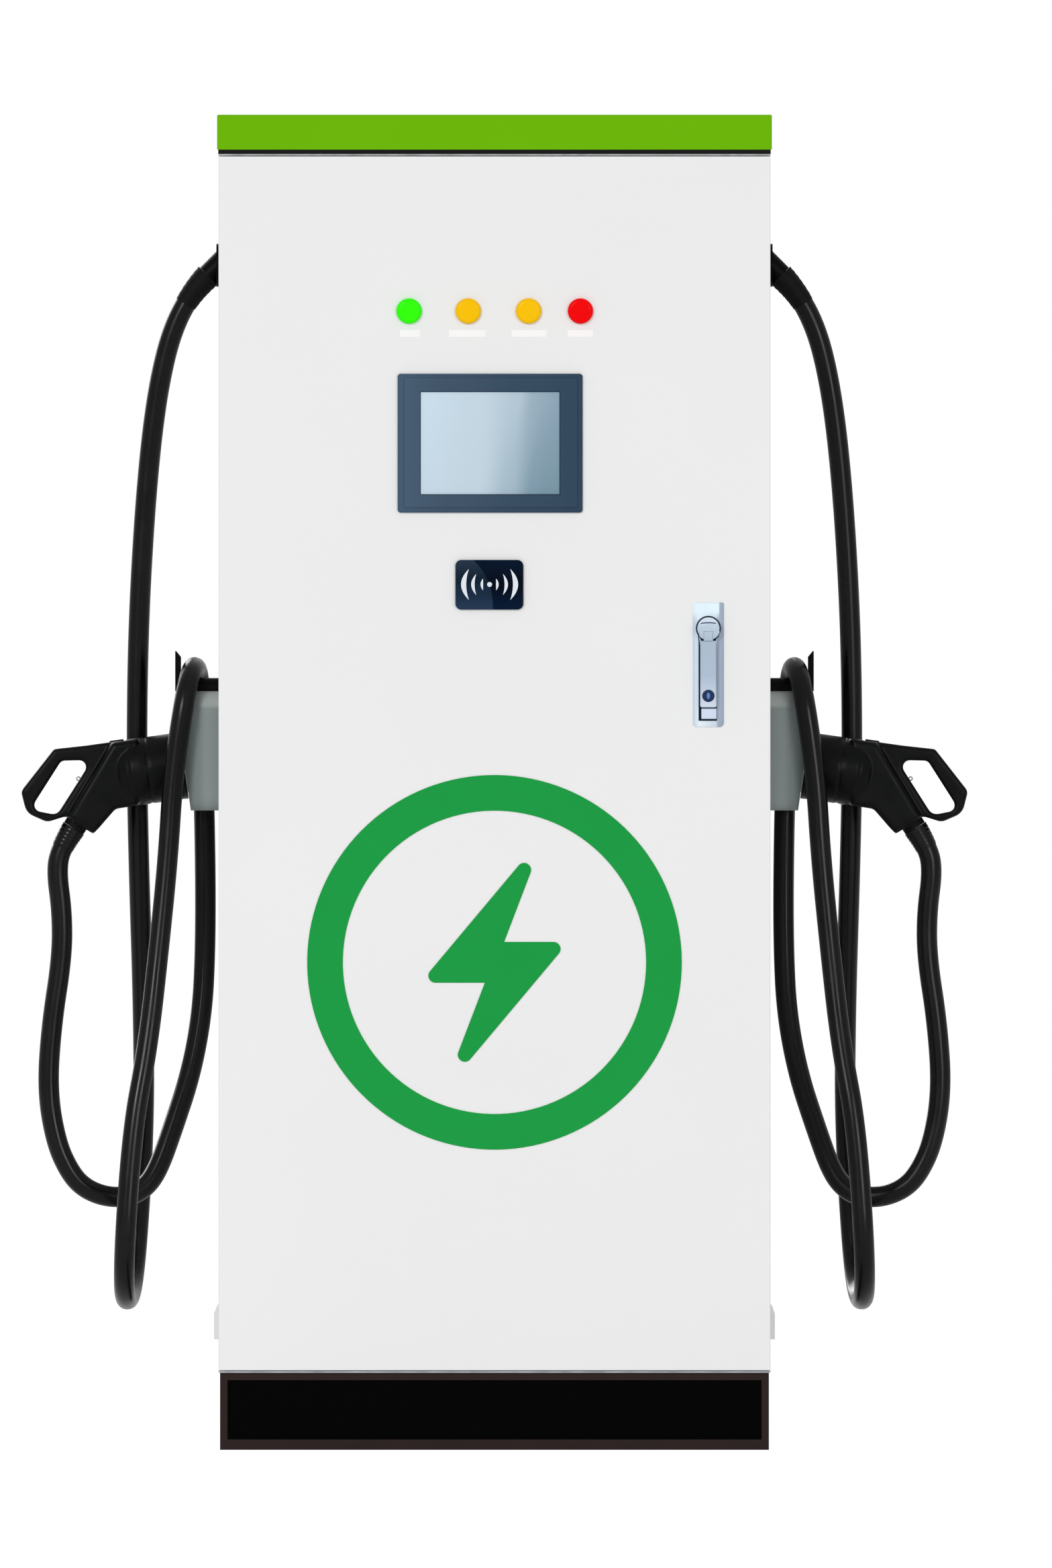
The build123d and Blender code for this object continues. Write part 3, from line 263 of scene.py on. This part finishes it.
def colours(tree, fac, *stops):
    """A ramp of colours. Each stop is its place from 0 to 1, and its red, green and blue."""
    made = add_node(tree, "ValToRGB", Fac=fac)
    made.color_ramp.interpolation = "EASE"
    ends = made.color_ramp.elements
    for end, (place, *rgb) in ((ends[0], stops[0]), (ends[1], stops[-1])):
        end.position = place
        end.color = srgb(*rgb)
    for place, *rgb in stops[1:-1]:
        ends.new(place).color = srgb(*rgb)
    return made.outputs["Color"]


def mixed(tree, fac, a, b):
    made = tree.nodes.new("ShaderNodeMix")
    made.data_type = "RGBA"
    feed(tree, made.inputs["Factor"], fac)
    feed(tree, made.inputs[6], a)
    feed(tree, made.inputs[7], b)
    return made.outputs[2]


def screen_reflection_colour(tree, x, z):
    """A painted reflection on the glass: pale at the left, darker at the right and darkest at the lower right."""
    down = spread(tree, z, 1.4266, 1.2878)
    lean = maths(tree, "MULTIPLY", down, 0.10)
    fac = maths(tree, "ADD", spread(tree, x, -0.1, 0.0882), lean)
    high = colours(
        tree, fac, (0.0, 199, 219, 233), (0.42, 193, 211, 223), (0.70, 178, 197, 210), (0.82, 152, 174, 189),
        (0.97, 142, 165, 183))
    low = colours(
        tree, fac, (0.0, 196, 214, 227), (0.5, 190, 208, 220), (0.74, 160, 182, 196), (0.9, 124, 151, 167),
        (1.0, 118, 146, 161))
    return mixed(tree, down, high, low)


# painted shading: the bezel lighter at the left and darker at the right, as if lit from the left
def bezel_shading_colour(tree, x, z):
    across = spread(tree, x, -0.131, 0.119)
    return colours(tree, across, (0.0, 66, 88, 110), (0.3, 60, 80, 100), (0.7, 50, 72, 92), (1.0, 45, 67, 88))


def reader_reflection_colour(tree, x, z):
    """A dark gloss with painted light: the lighter edge of a painted round reflection at its left, and painted shading
    up and down the face.
    """
    place = add_node(tree, "CombineXYZ", X=x, Z=z)
    far = tree.nodes.new("ShaderNodeVectorMath")
    far.operation = "DISTANCE"
    feed(tree, far.inputs[0], place.outputs["Vector"])
    feed(tree, far.inputs[1], (-0.0830, 0.0, 1.1399))
    inside = spread(tree, far.outputs["Value"], 0.0812, 0.0802)
    height = spread(tree, z, 1.133, 1.200)
    sheen = colours(tree, height, (0.0, 35, 55, 80), (0.35, 24, 42, 64), (0.6, 16, 32, 48), (1.0, 34, 50, 68))
    dark = colours(tree, height, (0.0, 1, 22, 48), (0.5, 0, 8, 24), (1.0, 1, 18, 40))
    return mixed(tree, inside, dark, sheen)


def plate_light_colour(tree, x, z):
    """Painted light from the left, with a painted highlight at the corner above the handle."""
    across = spread(tree, x, 0.2678, 0.3090)
    body = colours(
        tree, across, (0.0, 190, 206, 224), (0.10, 206, 222, 238), (0.18, 228, 238, 246), (0.72, 206, 217, 230),
        (0.84, 152, 167, 187), (1.0, 146, 160, 180))
    head = spread(tree, z, 1.118, 1.132, "SMOOTHSTEP")
    edge = spread(tree, x, 0.3040, 0.3020, "SMOOTHSTEP")
    return mixed(tree, maths(tree, "MULTIPLY", head, edge), body, srgb(224, 241, 250))


# painted shading: lighter at both ends of the lever and darker along its middle, as light falls on the metal
def lever_shading_colour(tree, x, z):
    along = spread(tree, z, 1.000, 1.118)
    return colours(
        tree, along, (0.0, 204, 216, 232), (0.16, 188, 202, 220), (0.4, 170, 186, 206), (0.75, 168, 185, 202),
        (0.93, 186, 201, 216), (1.0, 206, 220, 232))


def holster_shading_colour(tree, x, z):
    """Painted shade, darker away from the cabinet, with a painted highlight along the top edge."""
    out = maths(tree, "ABSOLUTE", x)
    painted_side_shade = colours(
        tree, spread(tree, out, 0.372, 0.420), (0.0, 136, 146, 145), (0.35, 146, 156, 155), (0.6, 132, 141, 141),
        (1.0, 102, 110, 110))
    # the mask of the painted highlight along the top edge
    top = maths(
        tree, "MULTIPLY", spread(tree, z, 0.998, 1.006, "SMOOTHSTEP"), spread(tree, out, 0.402, 0.392, "SMOOTHSTEP"))
    return mixed(tree, top, painted_side_shade, srgb(174, 181, 179))


# the parts that wear painted light and shade, and their painted finishes
PAINTED = {
    "hmi_screen": painted("screen_painted_reflection", "screen_glass", screen_reflection_colour),
    "hmi_bezel": painted("bezel_painted_shading", "bezel_plastic", bezel_shading_colour),
    "card_reader": painted("reader_painted_reflection", "reader_plastic", reader_reflection_colour),
    "handle_lever": painted("lever_satin", "lock_satin", lever_shading_colour),
    "handle_spindle": painted("lever_head_painted_shading", "lock_satin", lever_shading_colour),
    "holsters": painted("holster_painted_shading", "grey_plastic", holster_shading_colour),
}
PLATE_PAINTED_LIGHT = painted("plate_painted_light", "lock_satin", plate_light_colour)
for name, m in PAINTED.items():
    for slot in nodes[name].material_slots:
        slot.material = m


# ---------------------------------------------------------------- meshes
def add_mesh(name, mesh, body, finish_name, material=None):
    """A piece that rides on a body, with a finish. A material given as well is worn in the finish's place."""
    obj = new_object(name, mesh)
    mesh.materials.append(material or FINISH[finish_name])
    if body:
        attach(obj, body)
    return obj


def smooth(mesh, degrees=None):
    """Smooth shading, with edges sharper than an angle kept sharp."""
    for p in mesh.polygons:
        p.use_smooth = True
    if degrees is not None:
        mesh.set_sharp_from_angle(angle=math.radians(degrees))


def taken(obj):
    """The mesh that an object ends up as. The object is removed."""
    bpy.context.view_layer.update()
    mesh = bpy.data.meshes.new_from_object(obj.evaluated_get(bpy.context.evaluated_depsgraph_get()))
    bpy.data.objects.remove(obj)
    return mesh


def skinned(name, rings, degrees):
    """A closed body over rings of points, capped at both ends."""
    bm = bmesh.new()
    rings = [[bm.verts.new(p) for p in ring] for ring in rings]
    count = len(rings[0])
    for r0, r1 in zip(rings, rings[1:]):
        for k in range(count):
            bm.faces.new((r0[k], r0[(k + 1) % count], r1[(k + 1) % count], r1[k]))
    bm.faces.new(list(reversed(rings[0])))
    bm.faces.new(rings[-1])
    bmesh.ops.recalc_face_normals(bm, faces=bm.faces)
    mesh = bpy.data.meshes.new(name)
    bm.to_mesh(mesh)
    bm.free()
    smooth(mesh, degrees)
    return mesh


def ring_round(centre, u, v, radius, sides):
    """Points on a circle in space, u and v being its two directions."""
    turns = (2.0 * math.pi * k / sides for k in range(sides))
    return [centre + (u * math.cos(a) + v * math.sin(a)) * radius for a in turns]


def nurbs_line(name, points, resolution=10):
    """The points of an open NURBS line of order 3 that has these as its control points."""
    curve = bpy.data.curves.new(name, "CURVE")
    curve.dimensions = "3D"
    curve.resolution_u = resolution
    spline = curve.splines.new("NURBS")
    spline.points.add(len(points) - 1)
    for p, co in zip(spline.points, points):
        p.co = (*co, 1.0)
    spline.order_u = 3
    spline.use_endpoint_u = True
    spline.resolution_u = resolution
    mesh = taken(new_object(name, curve))
    line = [Vector(v.co) for v in mesh.vertices]
    bpy.data.curves.remove(curve)
    bpy.data.meshes.remove(mesh)
    return line


def tube(name, line, radius, sides=20, swell=None):
    """A round tube along a line, closed at both ends. swell(t) scales its radius along its length."""
    last = len(line) - 1
    tangents = [(line[min(last, i + 1)] - line[max(0, i - 1)]).normalized() for i in range(len(line))]
    side = tangents[0].orthogonal().normalized()
    rings = []
    for i, (p, t) in enumerate(zip(line, tangents)):
        if i:
            side = (tangents[i - 1].rotation_difference(t)).to_matrix() @ side
            side = (side - t * side.dot(t)).normalized()
        rings.append(ring_round(p, side, t.cross(side), radius * (swell(i / last) if swell else 1.0), sides))
    return skinned(name, rings, 50)


def turned(name, profile, origin, axis, sides=64):
    """A closed body turned about an axis from (radius, distance back) pairs in metres."""
    axis = axis.normalized()
    u = Vector((0.0, 1.0, 0.0))
    v = axis.cross(u).normalized()
    return skinned(name, [ring_round(origin - axis * back, u, v, r, sides) for r, back in profile], 40)


def fused(name, meshes, voxel, rounds):
    """One moulded body: the meshes joined, with soft fillets where they meet."""
    bm = bmesh.new()
    for m in meshes:
        bm.from_mesh(m)
    joined = bpy.data.meshes.new(name)
    bm.to_mesh(joined)
    bm.free()
    obj = new_object(name, joined)
    remesh = obj.modifiers.new("remesh", "REMESH")
    remesh.mode = "VOXEL"
    remesh.voxel_size = voxel
    soft = obj.modifiers.new("soft", "SMOOTH")
    soft.factor = 0.5
    soft.iterations = rounds
    mesh = taken(obj)
    mesh.name = name
    smooth(mesh)
    return mesh


def mirrored(mesh, name):
    copy = mesh.copy()
    copy.name = name
    copy.transform(Matrix.Diagonal((-1.0, 1.0, 1.0, 1.0)))
    copy.flip_normals()
    return copy


# ---------------------------------------------------------------- flat shapes with rounded edges
def mm(points):
    """Points in millimetres, as points in metres."""
    return [(x * 0.001, z * 0.001) for x, z in points]


def arc(cx, cz, r, start, end, steps):
    """Points on an arc, its angles in degrees from the X axis."""
    angles = [math.radians(start + (end - start) * k / steps) for k in range(steps + 1)]
    return [(cx + r * math.cos(a), cz + r * math.sin(a)) for a in angles]


def oval(cx, cz, rx, rz, count):
    turns = (2.0 * math.pi * k / count for k in range(count))
    return [(cx + rx * math.cos(a), cz + rz * math.sin(a)) for a in turns]


def rounded(points, radii, steps=6):
    """A closed outline with each corner rounded to its own radius."""
    out = []
    count = len(points)
    for i, (p, r) in enumerate(zip(points, radii)):
        p = Vector(p)
        a, b = Vector(points[i - 1]) - p, Vector(points[(i + 1) % count]) - p
        if r <= 0:
            out.append(p)
            continue
        half = a.angle(b) / 2.0
        back = min(r / math.tan(half), 0.49 * a.length, 0.49 * b.length)
        r = back * math.tan(half)
        centre = p + (a.normalized() + b.normalized()).normalized() * (r / math.sin(half))
        start, end = p + a.normalized() * back - centre, p + b.normalized() * back - centre
        turn = start.angle_signed(end)
        for k in range(steps + 1):
            out.append(centre + Matrix.Rotation(-turn * k / steps, 2) @ start)
    return [tuple(v) for v in out]


def rounded_mm(corners):
    """An outline from its corners' X, Z and radius, in millimetres."""
    return rounded(mm([c[:2] for c in corners]), [c[2] * 0.001 for c in corners])


def inset(box, *by):
    """An (x0, x1, z0, z1) box made smaller, by one distance or by one each for its left, right, foot and top."""
    left, right, foot, top = by * 4 if len(by) == 1 else by
    return (box[0] + left, box[1] - right, box[2] + foot, box[3] - top)


def rectangle(box, radii, steps):
    """An (x0, x1, z0, z1) box in millimetres as an outline. radii is one radius, or four from the lower left."""
    x0, x1, z0, z1 = box
    radii = radii if isinstance(radii, tuple) else (radii,) * 4
    return rounded(mm([(x0, z0), (x1, z0), (x1, z1), (x0, z1)]), [r * 0.001 for r in radii], steps)


def slab(name, outlines, depth, edge, steps):
    """A plate in the X-Z plane between the two Y values of depth, its outlines (the outer one and any holes)
    given as (x, z) points, with edges rounded by edge."""
    low, high = depth
    curve = bpy.data.curves.new(name, "CURVE")
    curve.dimensions = "2D"
    curve.fill_mode = "BOTH"
    curve.extrude = max(0.0, (high - low) / 2.0 - edge)
    curve.bevel_depth = edge
    curve.bevel_resolution = steps
    curve.offset = -edge
    for outline in outlines:
        spline = curve.splines.new("POLY")
        spline.points.add(len(outline) - 1)
        for p, (x, z) in zip(spline.points, outline):
            p.co = (x, z, 0.0, 1.0)
        spline.use_cyclic_u = True
    mesh = taken(new_object(name, curve))
    bpy.data.curves.remove(curve)
    mesh.transform(Matrix(((1, 0, 0, 0), (0, 0, 1, (low + high) / 2.0), (0, 1, 0, 0), (0, 0, 0, 1))))
    bm = bmesh.new()
    bm.from_mesh(mesh)
    bmesh.ops.remove_doubles(bm, verts=bm.verts, dist=1e-6)
    bmesh.ops.dissolve_degenerate(bm, dist=1e-7, edges=bm.edges)
    bmesh.ops.recalc_face_normals(bm, faces=bm.faces)
    bm.to_mesh(mesh)
    bm.free()
    mesh.materials.clear()
    mesh.name = name
    smooth(mesh, 35)
    return mesh


def add_slab(name, outlines, depth, edge, steps, body, finish_name, material=None):
    return add_mesh(name, slab(name, outlines, depth, edge, steps), body, finish_name, material)


# ---------------------------------------------------------------- the charging cables
# the left cable's control points, from its outlet on the cabinet's side to the gun's tail
ROUTE = [
    (-0.3861, 0.060, 1.5829), (-0.403, 0.060, 1.566), (-0.4265, 0.060, 1.5285), (-0.4445, 0.060, 1.4755),
    (-0.460, 0.061, 1.388), (-0.472, 0.062, 1.260), (-0.4805, 0.063, 1.100), (-0.4825, 0.064, 0.930),
    (-0.479, 0.068, 0.770), (-0.4735, 0.092, 0.600), (-0.472, 0.122, 0.430), (-0.487, 0.128, 0.203),
    (-0.503, -0.128, 0.203), (-0.489, -0.122, 0.430), (-0.467, -0.103, 0.545), (-0.452, -0.087, 0.680),
    (-0.440, -0.076, 0.800), (-0.433, -0.070, 0.915), (-0.411, -0.068, 1.055), (-0.3975, 0.068, 1.055),
    (-0.392, 0.068, 0.905), (-0.3895, 0.066, 0.770), (-0.390, 0.058, 0.670), (-0.394, 0.048, 0.590),
    (-0.409, 0.036, 0.508), (-0.434, 0.024, 0.432), (-0.453, 0.015, 0.379), (-0.470, 0.010, 0.354),
    (-0.494, 0.007, 0.341), (-0.524, 0.004, 0.341), (-0.5525, 0.002, 0.3525), (-0.572, 0.0, 0.373),
    (-0.591, 0.0, 0.414), (-0.603, 0.0, 0.485), (-0.597, 0.0, 0.575), (-0.583, 0.0, 0.665),
    (-0.583, 0.0, 0.725), (-0.5905, 0.0, 0.780), (-0.5846, 0.0, 0.8120), (-0.5674, 0.0, 0.8378),
]
CABLE_RADIUS = 0.014
CABLE_LINE = {}
for side, s in SIDES:
    line = CABLE_LINE[side] = nurbs_line(side + "_route", [(x * s, y, z) for x, y, z in ROUTE])
    name = side + "_charging_cable"
    cable = add_mesh(name, tube(name, line, CABLE_RADIUS), None, "cable_rubber")
    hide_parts(side + "_cable", side + "_cable_tail")
    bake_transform(cable)

# ---------------------------------------------------------------- the guns
# outlines of the left gun: X, Z and corner radius
GRIP = [
    (-505, 956, 0), (-551, 949.5, 0), (-594, 944.8, 6), (-638.4, 888, 10), (-631, 858.5, 20), (-603, 846.3, 14),
    (-580, 853.5, 4), (-575.9, 853.1, 0), (-550.2, 836, 0), (-500, 880, 0),
]
FINGER_HOLE = [(-584, 929, 8), (-543, 930, 9), (-590, 856, 12), (-626, 863, 9)]
GUN_BODY = [
    (-480, 959, 0), (-516, 953.5, 7), (-575.9, 853.1, 3), (-550.2, 836, 0), (-541, 830.5, 2), (-533.5, 838, 2),
    (-511, 864, 10), (-480, 869, 0),
]
# radius and distance back from the holster's face
BARREL = [
    (30, 6), (44, 0.5), (45, 2), (45, 47), (43.6, 48), (43.6, 50.5), (45.0, 51.5), (45.6, 60), (45.0, 72),
    (43.2, 74), (42, 79), (36, 88), (20, 96),
]
COLLAR = [(37.4, 5.0), (37.4, 0.4), (44.4, 0.4), (45.2, 1.2), (45.2, 5.2), (44.6, 6.0)]
GUN_TILT = math.radians(8.0)
GUN_FACE = Vector((-0.418, 0.0, 0.923))
GUN_AXIS = Vector((math.cos(GUN_TILT), 0.0, math.sin(GUN_TILT)))
GRIP_HALF, BODY_HALF = 0.017, 0.0315
MOULDING_VOXEL, MOULDING_ROUNDS = 0.0016, 4

gun_shell = fused("gun_shell", [
    slab("grip", [rounded_mm(GRIP), rounded_mm(FINGER_HOLE)], (-GRIP_HALF, GRIP_HALF), 0.0055, 4),
    slab("body", [rounded_mm(GUN_BODY)], (-BODY_HALF, BODY_HALF), 0.008, 4),
    turned("barrel", mm(BARREL), GUN_FACE, GUN_AXIS),
], MOULDING_VOXEL, MOULDING_ROUNDS)
for side, s in SIDES:
    mesh = gun_shell if s > 0 else mirrored(gun_shell, "right_gun_shell_moulded")
    shell = add_mesh(side + "_gun_moulding", mesh, side + "_gun", "gun_plastic")
    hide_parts(side + "_gun_shell")
    face, axis = (Vector((v.x * s, 0.0, v.z)) for v in (GUN_FACE, GUN_AXIS))
    name = side + "_gun_collar"
    add_mesh(name, turned(name, mm(COLLAR), face, axis), side + "_gun", "gun_plastic")

# ---------------------------------------------------------------- the door's front: Y in metres, X and Z in millimetres
DOOR_FACE, READER_FACE, BEZEL_FACE = -0.250, -0.255, -0.256
LABEL_ACROSS = ((-127.5, -100.4), (-61.5, -11.8), (22.6, 70.6), (98.6, 133.0))
LABEL_HEIGHTS = (1500.3, 1509.8)
for i, ends in enumerate(LABEL_ACROSS, 1):
    strip = rectangle(ends + LABEL_HEIGHTS, 0.8, 3)
    add_slab(f"label_strip_{i}", [strip], (DOOR_FACE - 0.0003, DOOR_FACE), 0.0001, 1, "door", "label_film")

# the reader's contactless mark: a dot and three pairs of crescents
MARK_X, MARK_Z = -6.6, 1166.7
MARK_DOT = 3.3
# how far out each crescent's tips are, half its height, and how far out the middles of its two edges are
CRESCENTS = ((8.8, 8.0, 12.2, 8.7), (17.9, 14.3, 24.8, 20.2), (27.8, 21.0, 38.5, 31.5))
CRESCENT_STEPS = 14


def crescent(way, tips, half, outer, inner):
    rise = [2.0 * k / CRESCENT_STEPS - 1.0 for k in range(CRESCENT_STEPS + 1)]
    return mm([
        (MARK_X + way * (tips + (middle - tips) * (1.0 - t * t)), MARK_Z + half * t)
        for middle, places in ((outer, rise), (inner, rise[-2:0:-1])) for t in places
    ])


marks = [mm(oval(MARK_X, MARK_Z, MARK_DOT, MARK_DOT, 24))]
marks += [crescent(way, *row) for way in (-1, 1) for row in CRESCENTS]
add_slab("contactless_mark", marks, (READER_FACE - 0.0004, READER_FACE), 0.00012, 1, "door", "mark_white")

# the raised inner frame of the panel computer, and a dark ring of painted shade in the gap round its glass
BEZEL = (-130.55, 118.75, 1263.6, 1450.8)
GLASS = (-100.4, 88.6, 1287.4, 1427.0)
raised = [rectangle(inset(BEZEL, 8.5, 7.0, 6.5, 5.5), 1.5, 4), rectangle(GLASS, 0.8, 3)]
add_slab(
    "bezel_frame", raised, (BEZEL_FACE - 0.0018, BEZEL_FACE + 0.0002), 0.0010, 3, "door", "bezel_plastic",
    PAINTED["hmi_bezel"])
gap_shade_ring = [rectangle(inset(GLASS, -0.2), 0.8, 3), rectangle(inset(GLASS, 1.0), 0.6, 3)]
add_slab("glass_gap_painted_shade", gap_shade_ring, (-0.2556, -0.2549), 0.0002, 2, "door", "gap_painted_shade")

# ---------------------------------------------------------------- the swing handle
PLATE = (267.8, 309.0, 974.65, 1142.15)
AXIS_X, AXIS_Z = 288.4, 1107.5  # the axis that the handle turns about
KEY_Z = 1016.5
SHADOW_X, SHADOW_Z = (275.1, 299.9), (982.8, 1089.5)
STOP = (278.9, 299.4, 985.4, 999.4)
HEAD_COVER = (AXIS_X - 10.6, AXIS_X + 10.6, 1103.4, 1113.3)
# the Y values of each piece's front and back
SHADOW_Y, STOP_Y, WING_Y = (-0.2542, -0.2538), (-0.2602, -0.2538), (-0.2586, -0.2558)
HEAD_Y, COVER_Y = (-0.26425, -0.2638), (-0.26425, -0.2639)
KEY_Y, FLAP_Y = (-0.2644, -0.2568), (-0.2640, -0.2570)
LEVER_PAINTED_SHADING = PAINTED["handle_lever"]

# the base plate, sloped at both sides and at its foot
foot = rectangle(PLATE, (5.0, 6.0, 1.5, 1.5), 6)
top = rectangle(inset(PLATE, 5.0, 7.0, 6.5, 1.0), (3.0, 3.0, 1.0, 1.0), 6)
levels = ((foot, DOOR_FACE + 0.0002), (foot, DOOR_FACE - 0.0016), (top, DOOR_FACE - 0.0040))
base = skinned("handle_base", [[(x, y, z) for x, z in outline] for outline, y in levels], 20)
plate = add_mesh("handle_base", base, "door", "lock_chrome", PLATE_PAINTED_LIGHT)
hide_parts("handle_plate")

# a dark sheet of painted shadow in the gap round the lever, on the plate
painted_shadow_outline = [(SHADOW_X[0], z) for z in SHADOW_Z] + arc(AXIS_X, AXIS_Z, 17.0, 214, -34, 24)
painted_shadow_outline += [(SHADOW_X[1], z) for z in reversed(SHADOW_Z)]
add_slab("handle_painted_shadow", [mm(painted_shadow_outline)], SHADOW_Y, 0.0001, 1, "door", "painted_shadow_dark")
add_slab("handle_stop", [rectangle(STOP, 1.0, 3)], STOP_Y, 0.0012, 3, "door", "stop_chrome")

# a dark arc of painted shadow in the gap round the handle's head
head_shadow_arc = arc(AXIS_X, AXIS_Z, 15.95, -15, 218, 30) + arc(AXIS_X, AXIS_Z, 14.9, 218, -15, 30)
add_slab("handle_head_painted_shadow", [mm(head_shadow_arc)], HEAD_Y, 0.00005, 1, "handle_spindle", "painted_shadow_dark")
add_slab(
    "handle_head_cover", [rectangle(HEAD_COVER, 1.5, 4)], COVER_Y, 0.0001, 1, "handle_spindle", "lock_chrome",
    LEVER_PAINTED_SHADING)

# the lever's shoulders beside the head, thin enough to pass behind it when the lever lifts
WING = [(-10.8, 1077.0), (-11.2, 1086.0), (-11.8, 1090.0), (-12.5, 1093.5), (-12.9, 1095.6)]
WING += arc(0.0, AXIS_Z, 17.4, 222, 234, 4) + [(-8.5, 1077.0)]
for way, name in ((1, "handle_wing_left"), (-1, "handle_wing_right")):
    outline = mm([(AXIS_X + way * x, z) for x, z in WING])
    add_slab(name, [outline], WING_Y, 0.0005, 2, "handle_lever", "lock_chrome", LEVER_PAINTED_SHADING)

SEAM = [
    (-10.4, 1113.4), (-4.0, 1114.2), (4.0, 1114.3), (10.4, 1113.4), (10.0, 1115.0), (4.0, 1116.1), (-4.0, 1116.0),
    (-10.0, 1115.0),
]
seam = mm([(AXIS_X + x, z) for x, z in SEAM])
add_slab("handle_head_seam", [seam], HEAD_Y, 0.00005, 1, "handle_spindle", "seam_grey")

# the lock's core with its keyhole, and the flap in the keyhole
core = [mm(oval(AXIS_X, KEY_Z, 8.2, 8.2, 36)), mm(oval(AXIS_X, KEY_Z, 2.3, 4.4, 24))]
key = add_slab("key_core", core, KEY_Y, 0.0005, 2, "lock_cylinder", "lock_core")
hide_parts("lock_cylinder")
flap = mm(oval(AXIS_X, KEY_Z, 2.25, 4.35, 24))
add_slab("key_flap", [flap], FLAP_Y, 0.0002, 1, "lock_cylinder", "flap_blue")


# ---------------------------------------------------------------- screws
def screws(name, places, depth, head, socket, body):
    """Round screw heads with a hexagon socket, facing along Y, at (x, z) places in millimetres."""
    outlines = []
    for x, z in places:
        outlines.append(mm(oval(x, z, head, head, 24)))
        outlines.append(mm(oval(x, z, socket, socket, 6)))
    add_slab(name, outlines, depth, 0.0003, 2, body, "zinc_steel")


REAR_SCREWS = [(x, z) for x in (-356, 356) for z in (128, 445, 762, 1079, 1396, 1722)]
REAR_SCREWS += [(x, z) for x in (-120, 120) for z in (128, 1722)]
BODY_SCREWS = ((-497, 874), (-556, 847), (-561, 905))
GRIP_SCREWS = ((-586, 938), (-613, 855))
screws("rear_panel_screws", REAR_SCREWS, (0.2496, 0.2520), 5.2, 2.3, "cabinet")
for side, s in SIDES:
    gun = side + "_gun"
    screws(gun + "_body_screws", [(s * x, z) for x, z in BODY_SCREWS], (0.0305, 0.0320), 3.2, 1.6, gun)
    screws(gun + "_grip_screws", [(s * x, z) for x, z in GRIP_SCREWS], (0.0160, 0.0176), 3.0, 1.5, gun)

# ---------------------------------------------------------------- strain reliefs
RIBS, RIB_HEIGHT = 6.0, 0.030  # heights as a part of the cable's radius
END_FROM, END_STEP = 0.97, 0.035
RELIEF_STEP = 0.0008


def start_of(line, reach):
    """A line's start in short steps, up to its first point past reach."""
    run, gone = [line[0]], 0.0
    for a, b in zip(line, line[1:]):
        steps = max(1, round((b - a).length / RELIEF_STEP))
        run += [a.lerp(b, k / steps) for k in range(1, steps + 1)]
        gone += (b - a).length
        if gone > reach:
            break
    return run


def ribbed(root, tip):
    """How a relief swells along its length: it tapers from root to tip, its ribs fade, and its end drops in."""
    def swell(t):
        wave = 0.5 + 0.5 * math.cos(t * 2.0 * math.pi * RIBS)
        ribs = RIB_HEIGHT * wave * (1.0 - 0.5 * t)
        return tip + (root - tip) * (1.0 - t) + ribs - (END_STEP if t > END_FROM else 0.0)
    return swell


for side, s in SIDES:
    line = CABLE_LINE[side]
    for end, part, body, reach, root, tip, rubber in (
        ("gun", line[::-1], side + "_gun", 0.030, 1.18, 1.03, "cable_rubber"),
        ("outlet", line, "cabinet", 0.045, 1.25, 1.04, "black_rubber"),
    ):
        name = f"{side}_{end}_relief"
        add_mesh(name, tube(name, start_of(part, reach), CABLE_RADIUS, 28, ribbed(root, tip)), body, rubber)
